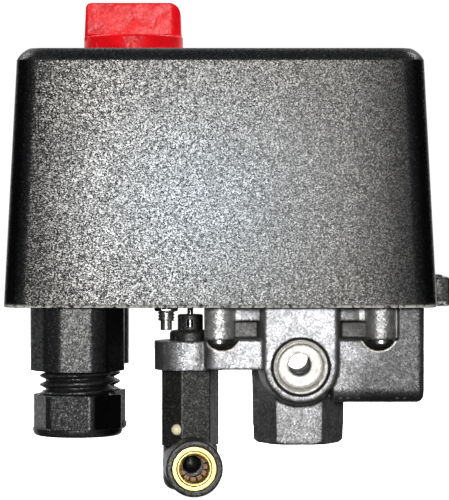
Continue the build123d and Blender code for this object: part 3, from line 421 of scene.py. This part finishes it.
MATERIALS = {
    "zinc_casting": zinc_finish(),
    "zinc_plated_steel": finish_of(
        "zinc_plated_steel", (0.62, 0.62, 0.60), 0.32, 1.0, mottle=(8.0, 0.12), grain=(0.25, 3.0),
        swell=(4.0, 14.0), spread=0.08, wear=((0.85, 0.85, 0.85), 0.5), soil=((0.16, 0.14, 0.12), 0.7)),
    "ground_steel": finish_of(
        "ground_steel", (0.52, 0.52, 0.53), 0.28, 1.0, mottle=(6.0, 0.10), grain=(0.12, 3.0),
        swell=(3.0, 6.0), spread=0.07, soil=((0.14, 0.12, 0.10), 0.6), stretch=(1, 0.05, 1)),
    "spring_steel": finish_of(
        "spring_steel", (0.34, 0.34, 0.35), 0.30, 1.0, mottle=(3.0, 0.15), grain=(0.15, 3.0),
        swell=(1.5, 6.0), spread=0.08, soil=((0.10, 0.08, 0.06), 0.5)),
    "rubber": finish_of(
        "rubber", (0.022, 0.022, 0.023), 0.72, 0.0, mottle=(4.0, 0.2), grain=(0.2, 8.0),
        swell=(3.0, 20.0), spread=0.08, wear=((0.08, 0.08, 0.08), 0.5), specular=0.35),
    "brass": finish_of(
        "brass", (0.86, 0.66, 0.24), 0.40, 1.0, mottle=(3.0, 0.08), grain=(0.30, 8.0),
        swell=(1.5, 12.0), spread=0.07, wear=((0.95, 0.86, 0.58), 0.6), soil=((0.30, 0.17, 0.05), 0.7)),
    "copper": finish_of(
        "copper", (0.78, 0.40, 0.24), 0.30, 1.0, mottle=(3.0, 0.14), grain=(0.15, 2.0),
        swell=(2.5, 6.0), spread=0.08, soil=((0.18, 0.07, 0.04), 0.7)),
    "silver": finish_of(
        "silver", (0.80, 0.79, 0.76), 0.26, 1.0, mottle=(1.2, 0.12), grain=(0.12, 2.0),
        swell=(1.0, 6.0), spread=0.08, soil=((0.15, 0.13, 0.12), 0.7)),
    "phenolic": finish_of(
        "phenolic", (0.045, 0.026, 0.020), 0.36, 0.0, mottle=(1.6, 0.35), grain=(0.25, 4.0),
        swell=(5.0, 20.0), spread=0.08, wear=((0.16, 0.11, 0.08), 0.5),
        specks=(0.5, (0.10, 0.07, 0.05), 0.06)),
    "carrier_nylon": finish_of(
        "carrier_nylon", (0.72, 0.68, 0.56), 0.42, 0.0, mottle=(6.0, 0.06), grain=(0.3, 4.0),
        swell=(4.0, 25.0), spread=0.07, soil=((0.42, 0.36, 0.26), 0.6)),
    "valve_nylon": finish_of(
        "valve_nylon", (0.016, 0.016, 0.016), 0.42, 0.0, mottle=(4.0, 0.30), grain=(0.25, 8.0),
        swell=(3.0, 25.0), facets=(0.29, 0.22), spread=0.08, wear=((0.15, 0.14, 0.13), 0.7),
        # Painted shade: near black where the surroundings shut the moulding in, such as inside the elbow.
        painted_shelter_shade=((0.004, 0.004, 0.004), 5.0, 1.0), specks=(0.42, (0.075, 0.072, 0.068), 0.14),
        # Painted shade on the flanks that face +X.
        right=0.7),
    "gland_nylon": finish_of(
        "gland_nylon", (0.011, 0.012, 0.014), 0.37, 0.0, mottle=(5.0, 0.30), grain=(0.25, 8.0),
        swell=(3.5, 25.0), facets=(0.29, 0.22), spread=0.08, wear=((0.12, 0.12, 0.12), 0.6),
        # Painted shade on the flanks that face +X.
        specks=(0.42, (0.060, 0.058, 0.056), 0.12), right=0.9),
    "red_plastic": finish_of(
        "red_plastic", (0.86, 0.006, 0.013), 0.34, 0.0, mottle=(5.0, 0.20), grain=(0.35, 8.0),
        swell=(5.0, 420.0), spread=0.12, wear=((0.98, 0.16, 0.17), 0.6), specular=0.12,
        facets=(0.30, 0.08)),
    "cam_nylon": finish_of(
        "cam_nylon", (0.045, 0.045, 0.045), 0.42, 0.0, mottle=(5.0, 0.2), grain=(0.3, 6.0),
        swell=(4.0, 20.0), spread=0.07, wear=((0.14, 0.14, 0.14), 0.5)),
    "cover_plastic": cover_finish(),
    # Painted highlight: a pale, non-metallic brass colour that reads bright, for the lock plug.
    "brass_painted_highlight": finish_of(
        "brass_painted_highlight", (1.0, 0.93, 0.62), 0.30, 0.0, mottle=(0.8, 0.10), grain=(0.20, 6.0),
        swell=(1.5, 6.0), spread=0.08, wear=((1.0, 0.96, 0.75), 0.5)),
    "warm_steel": finish_of(
        "warm_steel", (0.18, 0.11, 0.07), 0.55, 1.0, mottle=(0.8, 0.25), grain=(0.20, 6.0),
        swell=(1.5, 6.0), spread=0.09, soil=((0.10, 0.05, 0.03), 0.8)),
}


def dress(piece, slot, finish=None):
    """Gives a piece its finish, the one named by finish or else by slot."""
    piece.data.materials.clear()
    piece.data.materials.append(MATERIALS[finish or slot])
    return piece


# ---------------------------------------------------------------- mesh tools

def mesh_piece(name, points_mm, faces, sharp=35.0):
    mesh = bpy.data.meshes.new(name)
    mesh.from_pydata([tuple(c * MM for c in p) for p in points_mm], [], faces)
    tidy = bmesh.new()
    tidy.from_mesh(mesh)
    bmesh.ops.remove_doubles(tidy, verts=tidy.verts, dist=1e-7)
    bmesh.ops.recalc_face_normals(tidy, faces=tidy.faces)
    tidy.to_mesh(mesh)
    tidy.free()
    smooth_shade(mesh, sharp)
    return add_object(name, mesh)


def smooth_shade(mesh, sharp=35.0):
    mesh.polygons.foreach_set("use_smooth", [True] * len(mesh.polygons))
    mesh.set_sharp_from_angle(angle=math.radians(sharp))
    mesh.update()


def place_piece(piece, node, slot, stands_for=True):
    """Dresses a new piece, puts it on its node's body and hides the node."""
    dress(piece, slot)
    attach(piece, BODY_OF[node])
    if stands_for:
        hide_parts(node)
    return piece


def outline_of(corners, step=1.5, arc=6):
    """Closed path in (radius, height), through corners given as (radius, height, rounding)."""
    path = []
    for index, (r, z, rounding) in enumerate(corners):
        here = Vector((r, z))
        before = (Vector(corners[index - 1][:2]) - here).normalized()
        after = (Vector(corners[(index + 1) % len(corners)][:2]) - here).normalized()
        if not rounding:
            path.append(here)
            continue
        reach = rounding / math.tan(before.angle(after) / 2)
        start, end = here + before * reach, here + after * reach
        for k in range(arc + 1):
            t = k / arc
            path.append(start * (1 - t) ** 2 + here * 2 * t * (1 - t) + end * t * t)
    divided = []
    for p, q in zip(path, path[1:] + path[:1]):
        parts = max(1, math.ceil((q - p).length / step))
        divided += [p + (q - p) * (k / parts) for k in range(parts)]
    return divided


def turned(name, corners, centre, shape, around, step):
    """A closed outline turned about an upright axis. shape(angle, radius, height) gives the radius."""
    path = outline_of(corners, step)
    angle = np.linspace(0, 2 * math.pi, around, endpoint=False)[None, :]
    radius = np.array([p[0] for p in path])[:, None] + 0 * angle
    height = np.array([p[1] for p in path])[:, None] + 0 * angle
    angle = angle + 0 * radius
    radius = shape(angle, radius, height)
    points = np.stack([radius * np.cos(angle), radius * np.sin(angle), height], axis=-1)
    rows = len(path)
    index = np.arange(rows * around).reshape(rows, around)
    a, b = index, np.roll(index, -1, axis=1)
    c, d = np.roll(b, -1, axis=0), np.roll(a, -1, axis=0)
    faces = np.stack([a, b, c, d], axis=-1).reshape(-1, 4).tolist()
    flat = points.reshape(-1, 3) + np.array([centre[0], centre[1], 0.0])
    return mesh_piece(name, flat.tolist(), faces)


def soft_min(a, b, blend):
    gap = np.maximum(blend - np.abs(a - b), 0)
    return np.minimum(a, b) - gap * gap / (4 * blend)


def hex_limit(angle, flats, turn=0.0):
    """Radius of a hexagon across flats, with one flat to the front at turn 0."""
    off = (angle + math.pi / 2 - math.radians(turn) + math.pi / 6) % (math.pi / 3) - math.pi / 6
    return flats / 2 / np.cos(off)


def thread(angle, height, pitch):
    """0 at a thread's root and 1 at its crest, for a right-hand helix."""
    phase = (height / pitch - angle / (2 * math.pi)) % 1.0
    return np.clip((1 - np.abs(2 * phase - 1)) * 1.5 - 0.2, 0, 1)


def recast(node, name, slot, voxel, passes, warp=None):
    """A remeshed copy of a CAD node, with rounded edges, that warp(points, normals) may reshape in mm."""
    piece = add_object(name, NODES[node].data.copy())
    remesh = piece.modifiers.new("remesh", "REMESH")
    remesh.mode = "VOXEL"
    remesh.voxel_size = voxel * MM
    smooth = piece.modifiers.new("smooth", "SMOOTH")
    smooth.iterations = passes
    depsgraph = bpy.context.evaluated_depsgraph_get()
    mesh = bpy.data.meshes.new_from_object(piece.evaluated_get(depsgraph))
    piece.modifiers.clear()
    piece.data = mesh
    if warp:
        count = len(mesh.vertices)
        points = np.zeros(count * 3)
        normals = np.zeros(count * 3)
        mesh.vertices.foreach_get("co", points)
        mesh.vertices.foreach_get("normal", normals)
        moved = warp(points.reshape(-1, 3) / MM, normals.reshape(-1, 3))
        mesh.vertices.foreach_set("co", (moved * MM).ravel())
    smooth_shade(mesh, 180.0)
    return place_piece(piece, node, slot)


def soften(node, slot, voxel, passes):
    """Keeps a CAD node, rounds its edges with modifiers and gives it its finish."""
    piece = NODES[node]
    if voxel:
        remesh = piece.modifiers.new("remesh", "REMESH")
        remesh.mode = "VOXEL"
        remesh.voxel_size = voxel * MM
        remesh.use_smooth_shade = True
        smooth = piece.modifiers.new("smooth", "SMOOTH")
        smooth.iterations = passes
    return dress(piece, slot)


def waves(points, feature, seed):
    """Smooth unevenness between -1 and 1, as a sum of fixed sine waves."""
    rng = np.random.default_rng(seed)
    total = np.zeros(len(points))
    for _ in range(8):
        direction = rng.normal(size=3)
        direction *= 2 * math.pi / (feature * np.linalg.norm(direction) * rng.uniform(0.7, 1.4))
        total += np.sin(points @ direction + rng.uniform(0, 2 * math.pi))
    return total / 8


# ---------------------------------------------------------------- cover

COVER_INSET = (3.1, 1.5)
COVER_BEVEL = 2.9
COVER_WALL = 2.2
COVER_CORNER = 5.5
COVER_SCREW_X = 4.0
KNOB_X = -41.3
KNOB_HOLE_R = 7.3


def rounded_ring(half_x, half_y, corner, z, side=14, arc=14):
    points = []
    for quarter, (sx, sy) in enumerate(((1, 1), (-1, 1), (-1, -1), (1, -1))):
        for k in range(arc + 1):
            angle = math.radians(90 * (quarter + k / arc))
            points.append((sx * (half_x - corner) + corner * math.cos(angle),
                           sy * (half_y - corner) + corner * math.sin(angle)))
        nx, ny = ((-1, 1), (-1, -1), (1, -1), (1, 1))[quarter]
        start = points[-1]
        following = math.radians(90 * (quarter + 1))
        end = (nx * (half_x - corner) + corner * math.cos(following),
               ny * (half_y - corner) + corner * math.sin(following))
        for k in range(1, side):
            t = k / side
            points.append((start[0] + (end[0] - start[0]) * t, start[1] + (end[1] - start[1]) * t))
    return [(COVER_MIDDLE_X + x, y, z) for x, y in points]


def cover_rings():
    """Rings from the inside of the top, down the inner wall, round the lip and up the outer wall."""
    z0, z1 = COVER_Z
    shoulder = z1 - COVER_BEVEL

    def ring(z, inset, corner):
        share = min(1.0, (z - z0) / (shoulder - z0))
        return rounded_ring(COVER_HALF[0] - COVER_INSET[0] * share - inset,
                            COVER_HALF[1] - COVER_INSET[1] * share - inset, corner, z)

    rings = []
    for share in (0.15, 0.5, 0.8):
        half = (COVER_HALF[0] - 8) * share
        rings.append(rounded_ring(half, half * 0.55, COVER_CORNER * share, z1 - COVER_WALL))
    inner = COVER_CORNER - COVER_WALL * 0.5
    for z, inset in ((z1 - 2.2, 5.4), (z1 - 2.6, 3.6), (z1 - 3.6, 2.5), (z1 - 5.0, 2.2)):
        rings.append(ring(z, inset, inner))
    for k in range(9, 0, -1):
        rings.append(ring(z0 + 1.0 + (z1 - 8 - z0) * k / 9, COVER_WALL, inner))
    for z, inset in ((0.35, 1.8), (0.05, 1.5), (0.0, 1.2), (0.0, 0.5), (0.1, 0.15), (0.4, 0.0)):
        rings.append(ring(z0 + z, inset, COVER_CORNER))
    rings.append(ring(z0 + 1.0, 0.0, COVER_CORNER))
    for k in range(1, 13):
        rings.append(ring(z0 + 1.0 + (shoulder - 1.3 - z0) * k / 12, 0.0, COVER_CORNER))
    for k in range(0, 8):
        angle = math.radians(90 * k / 7)
        inset = COVER_BEVEL * (0.42 * (1 - math.cos(angle)) + 0.58 * k / 7)
        rise = COVER_BEVEL * (0.42 * math.sin(angle) + 0.58 * k / 7)
        rings.append(ring(shoulder + rise, inset, COVER_CORNER - 0.5 * inset))
    for share in np.linspace(0.93, 0.12, 13):
        half = (COVER_HALF[0] - 8) * share
        rings.append(rounded_ring(half, half * 0.55, COVER_CORNER * share, z1))
    return rings


def cut_with(piece, cutters, operation):
    for cutter in cutters:
        step = piece.modifiers.new("cut", "BOOLEAN")
        step.object = cutter
        step.operation = operation
        step.solver = "EXACT"
    depsgraph = bpy.context.evaluated_depsgraph_get()
    mesh = bpy.data.meshes.new_from_object(piece.evaluated_get(depsgraph))
    piece.modifiers.clear()
    piece.data = mesh
    for cutter in cutters:
        bpy.data.objects.remove(cutter)


def plug(radius, z0, z1, x, around=96):
    """A solid cylinder for cutting with."""
    bm = bmesh.new()
    bmesh.ops.create_cone(bm, cap_ends=True, segments=around, radius1=radius * MM, radius2=radius * MM,
                          depth=(z1 - z0) * MM,
                          matrix=Matrix.Translation((x * MM, 0, (z0 + z1) / 2 * MM)))
    mesh = bpy.data.meshes.new("plug")
    bm.to_mesh(mesh)
    bm.free()
    return add_object("plug", mesh)


def make_cover():
    rings = cover_rings()
    count = len(rings[0])
    points = [p for ring in rings for p in ring]
    faces = []
    for row in range(len(rings) - 1):
        for k in range(count):
            a, b = row * count + k, row * count + (k + 1) % count
            faces.append((a, b, b + count, a + count))
    faces.append(tuple(range(count)))
    last = (len(rings) - 1) * count
    faces.append(tuple(range(last + count - 1, last - 1, -1)))
    piece = mesh_piece("cover_shell", points, faces)
    cut_with(piece, [plug(5.2, 88.5, 96.6, COVER_SCREW_X)], "UNION")
    holes = ((4.0, 90.0, 99.0, COVER_SCREW_X), (2.2, 86.0, 92.0, COVER_SCREW_X),
             (KNOB_HOLE_R, 92.0, 99.0, KNOB_X))
    cut_with(piece, [plug(*hole) for hole in holes], "DIFFERENCE")
    smooth_shade(piece.data, 28.0)
    return place_piece(piece, "cover", "cover_plastic")


def brick(name, low, high, bevel=0.0):
    """A box with bevelled edges."""
    bm = bmesh.new()
    bmesh.ops.create_cube(bm, size=1.0)
    for vert in bm.verts:
        for axis in range(3):
            middle, size = (low[axis] + high[axis]) / 2, high[axis] - low[axis]
            vert.co[axis] = (middle + vert.co[axis] * size) * MM
    if bevel:
        bmesh.ops.bevel(bm, geom=bm.edges[:], offset=bevel * MM, segments=3, profile=0.5, affect="EDGES")
    mesh = bpy.data.meshes.new(name)
    bm.to_mesh(mesh)
    bm.free()
    return add_object(name, mesh)


def make_hook():
    """The moulded hook at the cover's lower right edge, open below."""
    piece = brick("cover_hook", (31.2, -7.0, 34.3), (37.6, 7.0, 41.6), 0.7)
    cut_with(piece, [brick("ledge", (31.6, -5.5, 40.6), (35.8, 5.5, 42.1), 0.3)], "UNION")
    cut_with(piece, [brick("mouth", (33.6, -5.0, 33.3), (36.0, 5.0, 39.3), 0.4)], "DIFFERENCE")
    smooth_shade(piece.data, 40.0)
    return place_piece(piece, "cover", "cover_plastic", stands_for=False)


make_cover()
make_hook()


# ---------------------------------------------------------------- cable glands

GLAND_X = -54.6
GLANDS = (("front", -14.5, 3.0, -8.0), ("rear", 14.5, 2.0, 17.0))
THREAD_PITCH = 2.2


def gland_body(side, y):
    corners = [
        (6.6, 11.4, 0.3), (7.8, 11.4, 0.3), (7.8, 18.9, 0.0), (12.3, 19.0, 0.35), (12.3, 36.0, 0.2),
        (8.0, 36.0, 0.0), (8.0, 43.0, 0.5), (6.6, 43.0, 0.3),
    ]

    def shape(angle, radius, height):
        hexed = soft_min(soft_min(radius, hex_limit(angle, 21.9), 0.35), 11.55 + 0 * radius, 0.2)
        radius = np.where((height > 18.95) & (height < 36.05) & (radius > 8.2), hexed, radius)
        on_thread = (radius > 7.6) & (radius < 8.0) & (height < 18.8) & (height > 11.6)
        fade = np.clip((height - 11.6) / 0.8, 0, 1) * np.clip((18.9 - height) / 0.7, 0, 1)
        return radius + np.where(on_thread, 1.5 * thread(angle, height, THREAD_PITCH) * fade, 0)

    piece = turned("gland_hex_" + side, corners, (GLAND_X, y), shape, 216, 0.16)
    place_piece(piece, "gland_body_" + side, "gland_nylon")


def gland_nut(side, y, z0, turn):
    top = z0 + 10.1
    corners = [
        (6.3, z0, 0.4), (11.0, z0, 1.6), (11.0, z0 + 1.9, 0.25), (10.9, z0 + 2.0, 0.0), (10.9, top, 0.2),
        (9.35, top, 0.1), (9.35, z0 + 2.4, 0.0), (6.3, z0 + 2.4, 0.2),
    ]

    def shape(angle, radius, height):
        hexed = soft_min(radius, hex_limit(angle, 19.5, turn), 0.12)
        return np.where((height > z0 + 1.95) & (radius > 9.4), hexed, radius)

    piece = turned("gland_cap_nut_" + side, corners, (GLAND_X, y), shape, 216, 0.5)
    place_piece(piece, "gland_nut_" + side, "gland_nylon")


for side, y, z0, turn in GLANDS:
    gland_body(side, y)
    gland_nut(side, y, z0, turn)


# ---------------------------------------------------------------- manifold

NPT_PITCH = 1.41


def cut_thread(points, along, across, reach):
    """Cuts a thread into the port whose depth is along, for points at across from its axis."""
    radius = np.hypot(across[:, 0], across[:, 1])
    angle = np.arctan2(across[:, 1], across[:, 0])
    in_port = (np.abs(radius - 5.55) < 0.45) & (along > 1.0) & (along < reach)
    fade = np.clip((along - 1.0) / 0.8, 0, 1) * np.clip((reach - along) / 0.8, 0, 1)
    push = np.where(in_port, 0.75 * thread(angle, along, NPT_PITCH) * fade, 0)
    return push / np.maximum(radius, 1e-6)


def mouth_shift(depth, across):
    """Turns the plain countersink into a short bevel round the forward flank of the first thread."""
    radius = np.hypot(across[:, 0], across[:, 1])
    on_cone = (np.abs(depth - (7.25 - radius)) < 0.4) & (radius > 5.45) & (radius < 7.3)
    wanted = np.where(radius > 6.6, 1.35 * (7.25 - radius), 0.88 + 0.30 * (6.6 - radius))
    return np.where(on_cone, wanted - depth, 0)


def age_manifold(points, normals):
    points = points.copy()
    relief = 0.05 * waves(points, 11.0, 3) + 0.025 * waves(points, 3.2, 4)
    points += normals * relief[:, None]
    for depth, columns, reach, sense in (
        (points[:, 1] + 24.0, (0, 2), 8.6, 1), (24.0 - points[:, 1], (0, 2), 8.6, -1),
        (30.1 - points[:, 0], (1, 2), 8.6, -1), (points[:, 2], (0, 1), 11.0, 0),
    ):
        axis = np.array([0.0, PORT_Z if columns[1] == 2 else 0.0])
        across = points[:, columns] - axis
        push = cut_thread(points, depth, across, reach)
        if sense:
            points[:, 3 - sum(columns)] += sense * mouth_shift(depth, across)
        for column, offset in zip(columns, across.T):
            points[:, column] += offset * push
    return points


recast("port_manifold", "manifold_casting", "zinc_casting", 0.3, 4, age_manifold)


def cast_waves(points, normals):
    return points + normals * (0.03 * waves(points, 7.0, 5) - 0.03)[:, None]


recast("outlet_elbow", "outlet_moulding", "valve_nylon", 0.22, 4, cast_waves)


# ---------------------------------------------------------------- springs

def spring(name, node, slot, mean, wire, z0, z1, turns, x, per_turn=48, around=12):
    """A compression spring with closed ends."""
    steps = int(turns * per_turn)
    t = np.linspace(0, turns, steps + 1)
    lead = np.clip(np.minimum(t, turns - t) / 1.0, 0, 1)
    rate = 0.25 + lead * lead * (3 - 2 * lead)
    rise = np.concatenate([[0], np.cumsum((rate[1:] + rate[:-1]) / 2)])
    height = z0 + wire + rise / rise[-1] * (z1 - z0 - 2 * wire)
    angle = t * 2 * math.pi
    points, faces = [], []
    for a, h in zip(angle, height):
        out = Vector((math.cos(a), math.sin(a), 0))
        for k in range(around):
            b = 2 * math.pi * k / around
            p = out * (mean + wire * math.cos(b)) + Vector((x, 0, h + wire * math.sin(b)))
            points.append(tuple(p))
    for row in range(steps):
        for k in range(around):
            a, b = row * around + k, row * around + (k + 1) % around
            faces.append((a, b, b + around, a + around))
    faces.append(tuple(range(around)))
    faces.append(tuple(range(steps * around, (steps + 1) * around)))
    return place_piece(mesh_piece(name, points, faces, 50.0), node, slot)


coil = spring("range_coil", "range_spring", "spring_steel", 6.65, 0.95, 47.5, 72.0, 8, 15.0)
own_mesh(coil)
coil = spring("differential_coil", "differential_spring", "spring_steel", 2.9, 0.45, 45.5, 66.0, 13, -4.0)
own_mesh(coil)
coil = spring("unloader_coil", "unloader_spring", "spring_steel", 2.2, 0.3, 5.0, 11.5, 6, -27.1)
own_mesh(coil)


# ---------------------------------------------------------------- CAD nodes that keep their shape

# For each material slot, the nodes and the voxel size in mm that rounds their edges, or 0 for none.
SMOOTHING_PASSES = 3
KEPT = {
    "zinc_plated_steel": {
        "clamp_screws": 0.12, "frame_plate": 0, "spring_bridge": 0, "main_lever": 0, "range_screw": 0.12,
        "range_lock_nut": 0.15, "differential_screw": 0.1, "differential_lock_nut": 0.15,
        "wire_clamps": 0.15, "terminal_screws": 0.1, "block_screws": 0.1, "earth_screw": 0.1,
        "earth_washer": 0.12, "earth_nut": 0.12, "cover_screw": 0.12, "knob_clip": 0,
        "lower_spring_seat": 0.15, "upper_spring_seat": 0.15, "pivot_clips": 0.12,
    },
    "ground_steel": {"pivot_pin": 0.15, "unloader_pin": 0},
    "spring_steel": {"contact_springs": 0},
    "rubber": {"diaphragm": 0, "gland_seal_front": 0.2, "gland_seal_rear": 0.2, "elbow_o_ring": 0,
               "tube_seal": 0, "unloader_poppet": 0},
    "brass": {"terminal_strip_1_front": 0.15, "terminal_strip_1_rear": 0.15,
              "terminal_strip_2_front": 0.15, "terminal_strip_2_rear": 0.15,
              "swivel_lock_plug": 0.08, "cartridge_ring": 0.1, "collet": 0.1},
    "copper": {"contact_bridge_1": 0.12, "contact_bridge_2": 0.12},
    "silver": {"fixed_contact_tips": 0.1, "moving_contact_tips": 0.1},
    "phenolic": {"terminal_block": 0.25},
    "carrier_nylon": {"contact_carrier": 0.2, "piston": 0.2},
    "valve_nylon": {"unloader_body": 0.18, "unloader_cap": 0.12, "unloader_retaining_ring": 0.12,
                    "unloader_spring_cup": 0},
    "gland_nylon": {"gland_locknuts": 0.25},
    "red_plastic": {"knob": 0.15},
    "cam_nylon": {"knob_cam": 0.2},
}

for slot, members in KEPT.items():
    for node, voxel in members.items():
        soften(node, slot, voxel, SMOOTHING_PASSES)
dress(NODES["grab_ring"], "zinc_plated_steel", "warm_steel")
# The lock plug gets the pale brass as a painted highlight.
dress(NODES["swivel_lock_plug"], "brass", "brass_painted_highlight")


def earth_thread(angle, radius, height):
    return radius + np.where(radius > 1.7, 0.32 * thread(angle, height, 0.75), 0)


EARTH_SCREW_XY = (-32.8, -15.0)
shank = [(1.0, 31.1, 0.0), (1.75, 31.1, 0.0), (1.75, 33.6, 0.0), (1.0, 33.6, 0.0)]
shank = turned("earth_screw_thread", shank, EARTH_SCREW_XY, earth_thread, 48, 0.1)
place_piece(shank, "earth_screw", "zinc_plated_steel", stands_for=False)


# ---------------------------------------------------------------- floor

floor_finish = Surface("floor")
floor_base = floor_finish.mix(floor_finish.noise(60.0, 3.0), (0.90, 0.90, 0.89), (0.93, 0.93, 0.925))
floor_finish.feed(floor_finish.shader.inputs["Base Color"], floor_base)
floor_finish.shader.inputs["Roughness"].default_value = 0.85
floor_finish.shader.inputs["Emission Color"].default_value = (1.0, 1.0, 0.995, 1.0)
floor_finish.shader.inputs["Emission Strength"].default_value = 1.0
FLOOR_Z = cad_box[0].z - 0.0002
bm = bmesh.new()
bmesh.ops.create_grid(bm, x_segments=12, y_segments=12, size=4.0,
                      matrix=Matrix.Translation((0, 0, FLOOR_Z)))
floor_mesh = bpy.data.meshes.new("floor")
bm.to_mesh(floor_mesh)
bm.free()
floor = add_object("floor", floor_mesh)
floor.data.materials.append(floor_finish.material)
floor.visible_diffuse = False
floor.visible_glossy = False
